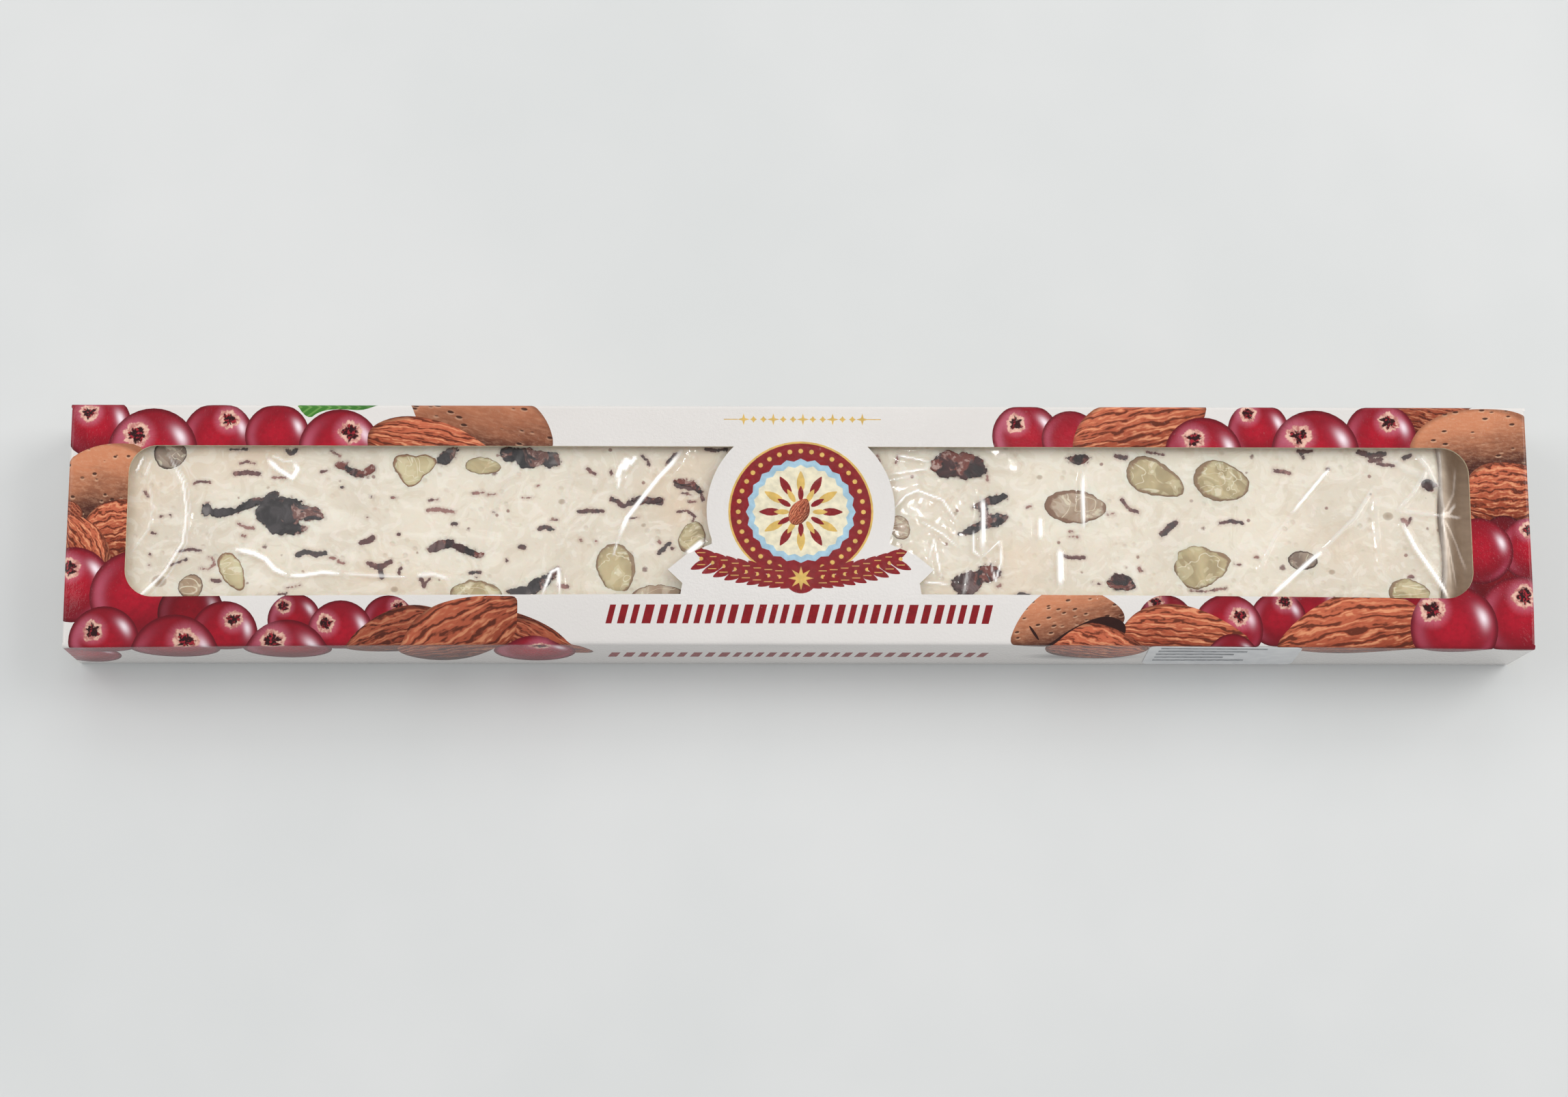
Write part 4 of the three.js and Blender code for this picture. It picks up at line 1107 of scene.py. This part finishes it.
def makeAlmond(node, look, seed):
    # a cut slice: flat with soft steps, its outline ragged as a broken nut's
    rings, sectors, face = nutSlice["rings"], nutSlice["sectors"], bar["top"]
    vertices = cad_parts[node].data.vertices
    top = max(v.co.z for v in vertices)
    rim = [(v.co.x / mm, v.co.y / mm) for v in vertices if v.co.z > top - 0.00005]
    x = sum(p[0] for p in rim) / len(rim)
    y = sum(p[1] for p in rim) / len(rim)
    polar = sorted((math.atan2(p[1] - y, p[0] - x), math.hypot(p[0] - x, p[1] - y)) for p in rim)
    angles, radii = np.array([p for p in polar if p[1] > 0.3]).T
    angles = np.concatenate([angles - math.tau, angles, angles + math.tau])
    radii = np.concatenate([radii] * 3)
    amount, corner = broken.get(node, (0.0, 0))
    turns = [math.tau * k / sectors - math.pi for k in range(sectors)]

    def reachAt(angle, share=1.0):
        # the node's own outline, or a share of it, broken to three corners
        reach = float(np.interp(angle, angles, radii)) * share
        return reach * (1 + amount * math.cos(3 * (angle - math.radians(corner))))

    points, rims = [(x, y, face + nutSlice["crown"])], [0.0]
    for i in range(1, rings + 1):
        t = i / rings
        for angle in turns:
            c, s = math.cos(angle), math.sin(angle)
            reach = reachAt(angle) * (1 + 0.05 * ripple(3 * c, 3 * s, seed))
            reach *= 1 + 0.04 * ripple(9 * c, 9 * s, seed)
            px, py = x + reach * t * c, y + reach * t * s
            lift = nutSlice["crown"] - nutSlice["fall"] * t**4 + 0.05 * ripple(px * 0.5, py * 0.5, seed)
            points.append((px, py, face + lift))
            rims.append(t)
    for angle in turns:
        reach = reachAt(angle, 0.97)
        points.append((x + reach * math.cos(angle), y + reach * math.sin(angle), face - nutSlice["skirt"]))
        rims.append(1.0)
    circles = [list(range(1 + i * sectors, 1 + (i + 1) * sectors)) for i in range(rings + 1)]
    faces = [(0, a, b) for a, b in closed(circles[0])]
    for inner, outer in zip(circles, circles[1:]):
        faces += band(inner, outer)
    faces.append(circles[-1][::-1])
    piece = addPiece(node + "_slice", points, faces, [look], node)
    addValue(piece, "rim", rims)


# dried cranberries: voxel, how far broad and small folds push them out and up, and their seat
cranberry = {"voxel": 0.2, "push": (0.55, 0.3, 0.1), "seat": 0.6}
# deep flesh as painted shade, lit folds as painted light, a painted sheen, frayed flesh, and the one spot
# that is frayed
cranberryTones = {
    "block": ("#1f1a1c", "#3f393b", "#7d7675", "#7a5048", (-84, 1.0, 4.2, 3.4)),
    "black": ("#191316", "#3b3537", "#77706f", "#744a41", None),
    "wine": ("#190809", "#3f1a1a", "#755c5a", "#763528", None),
}
cranberryOrder = ["block", "wine"] + ["black"] * 3 + ["wine"] * 4 + ["black"] + ["wine"] * 4


def makeCranberryLook(name, deep, lit, sheen, frayed, tip):
    look = Look("cranberry_" + name, rough=0.42, coat=0.2, coatRough=0.2, gleam=0.3)
    place = look.place()
    fold = look.noise(place, 300, 4, 0.55, 0.8)
    # painted light and shade: the raised folds are painted lit, the hollows between them deep
    flesh = look.tint(look.ease(fold, 0.42, 0.62), deep, lit)
    # painted highlights: spots of sheen
    spot = look.noise(look.shifted(place, (0.02, 0.05, 0)), 150, 3, 0.45, 1.0)
    flesh = look.tint(look.ease(spot, 0.54, 0.62) * 0.75, flesh, sheen)
    worn = look.noise(look.shifted(place, (0.4, 0.15, 0)), 190, 4, 0.65, 1.2)
    if tip:
        # one end is frayed, the rest is whole
        x, y, _ = look.apart(place)
        worn = worn - 0.13 + 0.3 * look.blob(x, y, *(v * mm for v in tip))
    flesh = look.tint(look.ease(worn, 0.5, 0.57) * 0.9, flesh, frayed)
    pale = look.noise(look.shifted(place, (0.1, 0.35, 0)), 900, 3, 0.6)
    flesh = look.tint(look.ease(worn, 0.5, 0.62) * look.ease(pale, 0.5, 0.6) * 0.8, flesh, "#b89c92")
    look.set(color=flesh, normal=look.bump(fold, 0.0008, 0.8))
    return look


def makeCranberry(node, look, seed):
    # the node's own lump, remeshed finely and crumpled; it stays seated in the bar
    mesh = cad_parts[node].data.copy()
    mesh.materials.clear()
    piece = stand(node + "_flesh", mesh)
    remesh = piece.modifiers.new("remesh", "REMESH")
    remesh.mode = "VOXEL"
    remesh.voxel_size = cranberry["voxel"] * mm
    bpy.context.view_layer.update()
    fine = bpy.data.meshes.new_from_object(piece.evaluated_get(bpy.context.evaluated_depsgraph_get()))
    piece.modifiers.clear()
    piece.data = fine
    fine.materials.clear()
    fine.materials.append(look.material)
    broad, small, rise = cranberry["push"]
    for v in fine.vertices:
        x, y, z = v.co.x / mm, v.co.y / mm, v.co.z / mm
        push = broad * ripple(x * 0.7, y * 0.7, seed) + small * ripple(x * 1.9, y * 1.9, seed + 4)
        v.co.x += push * v.normal.x * mm
        v.co.y += push * v.normal.y * mm
        if z > bar["top"] - cranberry["seat"]:
            share = min(1.0, z - bar["top"] + 1.0)
            v.co.z += (rise + rise * ripple(x * 1.1, y * 1.1, seed + 9)) * share * mm
    fine.polygons.foreach_set("use_smooth", [True] * len(fine.polygons))
    fine.update()
    claim(piece, node)


def cranberryEdges():
    # the cranberries' upper points, so that the bar's face can find the nearest one
    points = []
    for name in sorted(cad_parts):
        if name.startswith("cranberry"):
            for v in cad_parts[name].data.vertices:
                if v.co.z > (bar["top"] - cranberry["seat"]) * mm:
                    points.append((v.co.x / mm, v.co.y / mm, bar["top"]))
    tree = kdtree.KDTree(len(points))
    for i, point in enumerate(points):
        tree.insert(point, i)
    tree.balance()
    return tree


def makeStones():
    almonds = {name: makeAlmondLook(name, *colors) for name, colors in nutTones.items()}
    for i, tone in enumerate(nutOrder):
        makeAlmond("almond_%02d" % (i + 1), almonds[tone], i * 3.7)
    berries = {name: makeCranberryLook(name, *colors) for name, colors in cranberryTones.items()}
    for i, tone in enumerate(cranberryOrder, 1):
        makeCranberry("cranberry_%02d" % i, berries[tone], i * 2.3)
    print("stones:", len(nutOrder), "almonds and", len(cranberryOrder), "cranberries")


# the film: a bag over the bar, drawn flat to a fin at either end
film = {
    "step": 0.31,  # spacing of the grid, and of its columns where no crease runs
    "plain": 0.8,
    "rise": 0.42,  # how far it stands off the bar's face, and off its sides
    "side": 0.45,
    "end": 124.0,
    "runIn": (3.8, 5.4),  # how soon the left and the right end are drawn flat
    "fin": 7.7,  # height of the flat end, and half its thickness
    "finHalf": 0.12,
    "corner": 1.0,
    "underside": 12,  # steps across it
}

# creases: how bright (how clouded each is, and how strongly its painted highlight glows), half width,
# height, and a line of points on the bar's face
creases = [
    (0.75, 0.27, 0.22, [
        (-108.4, 12.8), (-105.6, 7.6), (-104.8, 2.1),
        (-105.3, -2.9), (-108.1, -7.8), (-112, -12.7),
    ]),
    (0.35, 0.2, 0.15, [
        (-107.6, 12.8), (-104.9, 7.2), (-104.2, 2.1),
        (-104.7, -3.1), (-107.2, -8), (-110.9, -12.7),
    ]),
    (0.3, 0.25, 0.15, [(-111.4, 8), (-110.6, 3.1), (-111.2, -0.6), (-114.2, -5)]),
    (0.8, 0.25, 0.2, [(-112.6, 12.2), (-113.7, 9.4)]),
    (0.4, 0.3, 0.2, [(-111.2, 11.6), (-112.1, 8.6)]),
    (0.8, 0.35, 0.2, [(-108.9, -8.9), (-111.4, -11.4), (-112.9, -12.9)]),
    (1.0, 0.5, 0.3, [(-91.3, 11.9), (-89.5, 10), (-87, 8.4), (-86.1, 10), (-86.9, 11.4)]),
    (0.5, 0.3, 0.2, [(-90.6, 12.4), (-88.4, 11.4), (-86.8, 11.5)]),
    (1.0, 0.55, 0.35, [(-96.5, -4), (-93.1, -4.8), (-91.1, -5.8), (-89.6, -7.5), (-87.2, -8.7)]),
    (0.9, 0.45, 0.3, [(-87.2, -8.7), (-84.6, -8.6), (-81.5, -8.1), (-78.2, -8.3)]),
    (0.55, 0.35, 0.3, [(-78.2, -8.3), (-73, -8.6), (-67.2, -8.9)]),
    (0.6, 0.5, 0.3, [(-65.4, -8.6), (-62.4, -8.4), (-59.8, -9.2)]),
    (1.0, 0.95, 0.35, [(-29.5, 12.1), (-30.5, 9.9)]),
    (1.0, 0.6, 0.35, [(-30.5, 11.3), (-31.5, 8.4)]),
    (1.0, 0.45, 0.3, [(-28.3, 12.4), (-29.3, 10.8)]),
    (0.8, 0.35, 0.25, [(-31, 8.8), (-31.3, 6.7)]),
    (1.0, 0.5, 0.35, [(-20.5, 13.4), (-22.2, 11), (-24.4, 8.6), (-27, 5.2), (-29.6, 1.7), (-31.2, -2.2)]),
    (0.5, 0.3, 0.2, [(-31.2, -2.2), (-32, -5.1)]),
    (0.9, 0.35, 0.25, [(-44.2, -12.4), (-42.5, -7.9), (-41.3, -7.3), (-41, -12.4)]),
    (1.0, 0.7, 0.25, [(-19.6, -4.9), (-16.6, -2.4)]),
    (0.1, 0.6, 0.03, [(-38.4, 13.2), (-40.6, 3), (-41.4, -6)]),
    (0.1, 0.7, 0.03, [(-48, 13), (-52, 4), (-54, -4)]),
    (0.9, 0.24, 0.15, [(15.7, 2.9), (18, 5.6), (20.1, 6.5), (24.4, 4.8), (26.9, 0.9)]),
    (0.7, 0.2, 0.15, [(20.5, 1.1), (24.3, -1.1), (26.9, -3.6)]),
    (0.8, 0.25, 0.2, [(29.5, -0.6), (29.5, -4.1), (30.9, -5.3)]),
    (0.8, 0.22, 0.2, [(30.9, -5.3), (34, -2.4), (34.2, -6), (33.2, -9.5), (32.4, -6)]),
    (0.8, 0.22, 0.15, [(21.9, -5.5), (22.8, -2.1), (24, -9)]),
    (0.8, 0.25, 0.15, [(20.9, -9.5), (25.1, -10)]),
    (0.4, 0.3, 0.25, [(28.5, -7), (27.7, -12)]),
    (1.0, 0.5, 0.3, [(31.1, 5.4), (31.3, 2.4), (31.1, -3.8)]),
    (0.9, 0.35, 0.3, [(41, 1.9), (41, -2.1)]),
    (0.9, 0.35, 0.3, [(48.5, 9.9), (48.4, 5.8), (48.5, -0.4)]),
    (1.0, 0.65, 0.35, [(44.3, -3.6), (44.3, -10.2)]),
    (0.7, 0.25, 0.12, [(16.4, 12.8), (22.2, 11.6)]),
    (0.7, 0.25, 0.12, [(15.6, 9.4), (22, 10.4)]),
    (0.3, 0.3, 0.2, [(14, 8), (20, 9.2)]),
    (0.9, 0.35, 0.3, [(91.1, 10.7), (84.2, 2.5)]),
    (0.2, 0.4, 0.2, [(84.2, 2.5), (81.2, -1.6), (78, -8)]),
    (0.35, 0.5, 0.25, [(98.6, 7.2), (95.2, 2), (89.2, -4)]),
    (1.0, 0.5, 0.4, [(89.2, -4), (84.2, -8.4), (79.8, -12.4)]),
    (0.1, 0.4, 0.12, [(98.6, 7.4), (98.7, 1), (99, -5.9), (100.9, -10.9)]),
    (0.9, 0.4, 0.4, [(103, 1.2), (105.3, -3.6), (108.4, -8.4), (110.8, -12.5)]),
    (0.3, 0.5, 0.3, [(102.4, 3), (105.5, 6.5), (108.2, 11)]),
    (0.3, 0.4, 0.3, [(102.9, 3), (109.8, 2.2)]),
    (0.2, 0.8, 0.14, [(101, 12.8), (104.6, 10.2), (109, 8.4)]),
    (0.35, 0.6, 0.2, [(106, 13.2), (108, 10.6), (109.6, 6.6)]),
    (0.8, 0.35, 0.3, [(109.8, 2.2), (111.6, 3), (113.6, 5.4)]),
    (0.7, 0.35, 0.3, [(110, 2), (114.8, 3.4)]),
    (0.4, 0.35, 0.3, [(110, 2), (113.1, 7), (114, 12)]),
    (0.5, 0.35, 0.3, [(110, 2), (113.4, -2), (115.4, -6)]),
    (0.5, 0.3, 0.3, [(110, 2), (112.8, -9.8)]),
    (0.3, 0.35, 0.3, [(110.4, 2), (111.4, -9.8)]),
]


def makeFilmLook():
    look = Look("clear_film", rough=0.25, glowStrength=0.4)
    place, crease, gather = look.place(), look.value("crease"), look.value("gather")
    # clear, with a gloss that grows towards the edges of the view and on creases
    glance = look.node("ShaderNodeFresnel", {}, {"IOR": 1.35})
    waves = look.bump(look.noise(place, 140, 3), 0.0005, 0.3)
    clear = look.node("ShaderNodeBsdfTransparent")
    gloss = look.node("ShaderNodeBsdfGlossy", {}, {"Roughness": 0.07, "Normal": waves})
    share = look.maths("MINIMUM", glance * 1.2 + crease * 0.35, 0.9)
    sheet = look.node("ShaderNodeMixShader", {}, {0: share, 1: clear, 2: gloss})
    # the creases and the gathered end are clouded white; the creases also glow white as painted highlights,
    # and the gathered end glows faintly with painted light
    look.set(color=look.tint(gather, "#fbf8f3", "#ecdac6"))
    glow = look.tint(gather, (0, 0, 0, 1), (0.11, 0.09, 0.075, 1))
    look.set(glow=look.tint(crease, glow, (1, 1, 1, 1)))
    pleats = gather * (0.4 + 0.9 * look.noise(look.scaled(place, (0.6, 1.6, 1.0)), 260, 3))
    cloud = look.noise(place, 60, 2) * 0.04
    # the share of the clouded sheet, which also carries the painted glow of the creases and the gathered end
    milk_and_glow_share = look.maths("MINIMUM", crease * 0.85 + pleats * 0.6 + cloud, 0.95)
    milky_and_glowing = look.node("ShaderNodeMixShader", {}, {0: milk_and_glow_share, 1: sheet, 2: Wire(look, look.shader.outputs[0])})
    look.feed(look.out.inputs["Surface"], milky_and_glowing)
    return look


def filmPlaces():
    # the grid's columns stand close only where a crease runs
    spans = [(min(p[0] for p in line) - 1.2, max(p[0] for p in line) + 1.2) for *_, line in creases]
    places = [-film["end"]]
    while places[-1] < film["end"]:
        near = any(low < places[-1] < high for low, high in spans)
        places.append(min(film["end"], places[-1] + (film["step"] if near else film["plain"])))
    return places


def filmSection(x):
    # one ring of the bag as points across and up; 1 marks the ones over the bar's face
    half, step = bar["width"] / 2, film["step"]
    t = 0.0
    if x < bar["left"]:
        t = min(1.0, (bar["left"] - x) / film["runIn"][0])
    elif x > bar["right"]:
        t = min(1.0, (x - bar["right"]) / film["runIn"][1])
    close = t * t * (3 - 2 * t)
    upper = (bar["top"] + film["rise"]) * (1 - close) + (film["fin"] + film["finHalf"]) * close
    lower = (bar["bottom"] - film["rise"]) * (1 - close) + (film["fin"] - film["finHalf"]) * close
    width = half + film["side"] - 0.5 * close
    r = min(film["corner"], (upper - lower) / 2 * 0.95)
    across = [-half + i * step for i in range(int(2 * half / step))] + [half]
    section = [(y * (width - r) / half, upper, 1) for y in across]

    def corner(steps, first, last):
        # points of a quarter turn, as its sine and cosine times the radius
        turns = [math.pi / 2 * k / steps for k in range(first, last)]
        return [(r * math.sin(a), r * math.cos(a)) for a in turns]

    section += [(width - r + s, upper - r + c, 0) for s, c in corner(6, 1, 7)]
    section += [(width - r + c, lower + r - s, 0) for s, c in corner(3, 1, 4)]
    under = film["underside"]
    section += [((width - r) * (1 - 2 * k / under), lower, 0) for k in range(1, under)]
    section += [(-width + r - s, lower + r - c, 0) for s, c in corner(3, 0, 4)]
    section += [(-width + r - c, upper - r + s, 0) for s, c in corner(6, 0, 6)]
    return section


def makeFilm():
    places = filmPlaces()
    sections = [filmSection(x) for x in places]
    per = len(sections[0])
    ys, zs, marks = np.array([p for section in sections for p in section], float).T
    xs = np.repeat(places, per)
    lift, shine = np.zeros(len(xs)), np.zeros(len(xs))
    for bright, wide, height, line in creases:
        # a crease fades towards its ends
        total = sum(math.dist(a, b) for a, b in zip(line, line[1:]))
        run = 0.0
        for a, b in zip(line, line[1:]):
            gap, t = segmentGap(xs, ys, a, b)
            along = (run + t * math.dist(a, b)) / total
            fade = np.clip(6 * along * (1 - along) + 0.15, 0, 1)
            lift = np.maximum(lift, height * fade * np.exp(-((gap / (wide + 0.2)) ** 2)))
            shine = np.maximum(shine, bright * fade * np.exp(-((gap / (0.72 * wide)) ** 4)))
            run += math.dist(a, b)
    slow = [ripple(x * 0.07, y * 0.11, 7) + 0.5 * ripple(x * 0.2, y * 0.25, 3) for x, y in zip(xs, ys)]
    zs = zs + marks * (lift * 0.9 + 0.12 * np.array(slow))
    faces = []
    for i in range(len(places) - 1):
        for k in range(per):
            a, b = i * per + k, i * per + (k + 1) % per
            faces.append((a, b, b + per, a + per))
    points = list(zip(xs, ys, zs))
    piece = addPiece("film_bag", points, faces, [makeFilmLook()], "film_wrap")
    # the shine of each crease sets its clouding and its painted highlight glow; the gathered ends are
    # clouded and glow faintly with painted light
    addValue(piece, "crease", marks * shine)
    addValue(piece, "gather", np.clip((np.abs(xs + 3.2) - 112.6) / 1.2, 0, 1))
    print("film:", len(points), "points")


# the small label on the front face, with plain bars in place of wording
label = {
    "left": 59.4,
    "right": 85.4,
    "top": 15.2,
    "bottom": 1.4,
    "corner": 1.2,
    "half": 0.06,  # half its thickness
    "stand": 0.1,  # how far its middle stands off the board
    "bars": [(61.4, 79.6), (61.2, 76.4), (61, 74.4), (61, 72.8), (60.9, 76.6)],
    "firstBar": 13.4,
    "barGap": 2.2,
    "barHalf": 0.5,
}


def makeLabel():
    paper = Look("label_paper", rough=0.5, coat=0.2, coatRough=0.3)
    fibre = paper.noise(paper.place(), 500, 3)
    paper.set(color=paper.tint(paper.ease(fibre, 0.3, 0.7), "#d4d5d6", "#dedfdf"))
    paper.set(normal=paper.bump(fibre, 0.00005))
    ink = Look("label_ink", rough=0.55)
    fleck = ink.noise(ink.place(), 1500, 2)
    ink.set(color=ink.tint(ink.ease(fleck, 0.4, 0.6), "#8f9194", "#a9abae"))
    y = -carton["width"] / 2 - label["stand"]
    r, half = label["corner"], label["half"]
    left, right = label["left"] + r, label["right"] - r
    top, bottom = label["top"] - r, label["bottom"] + r
    ring = []
    for k, (x, z) in enumerate(((right, top), (left, top), (left, bottom), (right, bottom))):
        for step in range(7):
            a = math.radians(90 * k + 15 * step)
            ring.append((x + r * math.cos(a), z + r * math.sin(a)))
    n = len(ring)
    points = [(x, y + depth, z) for depth in (-half, half) for x, z in ring]
    front, back = list(range(n)), list(range(n, 2 * n))
    faces = [front, back[::-1]] + [(a, b, b + n, a + n) for a, b in closed(front)]
    kinds = [0] * len(faces)
    for row, (a, b) in enumerate(label["bars"]):
        z = label["firstBar"] - row * label["barGap"]
        start = len(points)
        corners = oblong(a, z - label["barHalf"], b, z + label["barHalf"])
        points += [(x, y - half - 0.01, z) for x, z in corners]
        faces.append(range(start, start + 4))
        kinds.append(1)
    points = [bow(*p) for p in points]
    piece = addPiece("front_label", points, faces, [paper, ink], "sticker", smooth=False)
    piece.data.polygons.foreach_set("material_index", kinds)
    print("label:", len(label["bars"]), "bars")


def makeTable(size=3.0):
    mesh = bpy.data.meshes.new("table")
    corners = [(x, y, 0) for x, y in oblong(-size, -size, size, size)]
    mesh.from_pydata(corners, [], [(0, 1, 2, 3)])
    look = Look("table", rough=0.55)
    cloud = look.noise(look.place(), 9, 4, 0.6)
    look.set(color=look.tint(look.ease(cloud, 0.35, 0.7), "#d5d7d6", "#dbdcdb"))
    mesh.materials.append(look.material)
    stand("table", mesh)


# broad lamps stand clear of the mirror line between lens and lid; the bulb stands in it
lamps = {
    "left": {"at": (-0.95, 0.35, 0.95), "size": (0.8, 1.0), "power": 4.4, "color": (1, 0.99, 0.97)},
    "right": {"at": (1.0, 0.4, 0.95), "size": (0.8, 1.0), "power": 7.9, "color": (1, 0.99, 0.97)},
    "back": {"at": (0.0, 1.2, 1.0), "size": (1.8, 0.5), "power": 3.0, "color": (1, 1, 1)},
    "bulb": {"at": (0.05, 0.21, 0.95), "size": (0.02, 0.02), "power": 0.14, "color": (1, 0.98, 0.95)},
}
room = {"color": (0.97, 0.98, 1.0, 1), "level": 0.63}


def makeLight():
    world = bpy.data.worlds.new("room")
    bpy.context.scene.world = world
    world.use_nodes = True
    ground = world.node_tree.nodes["Background"]
    ground.inputs[0].default_value = room["color"]
    ground.inputs[1].default_value = room["level"]
    for name, told in lamps.items():
        lamp = bpy.data.lights.new(name, "AREA")
        lamp.shape = "RECTANGLE"
        lamp.size, lamp.size_y = told["size"]
        lamp.energy = told["power"]
        lamp.color = told["color"]
        held = stand(name, lamp)
        held.location = told["at"]
        held.rotation_euler = (Vector() - held.location).to_track_quat("-Z", "Y").to_euler()


viewpoint = {
    "at": (-0.01157, -0.13064, 0.58386),
    "tilt": (12.567, -0.856, -0.087),  # degrees
    "focus": 5000,  # length of the lens, where the frame is so much across
    "across": 2296,
}


def makeCamera():
    camera = bpy.data.cameras.new("camera")
    camera.sensor_width = 36
    camera.lens = camera.sensor_width * viewpoint["focus"] / viewpoint["across"]
    camera.clip_start = 0.01
    held = stand("camera", camera)
    held.location = viewpoint["at"]
    held.rotation_euler = [math.radians(a) for a in viewpoint["tilt"]]
    bpy.context.scene.camera = held


makeCarton(makeCardLooks())
makeNougat(cranberryEdges())
makeStones()
makeFilm()
makeLabel()
makeTable()
makeLight()
makeCamera()
bpy.context.scene.view_settings.view_transform = "Standard"
print("table, light and camera stand")
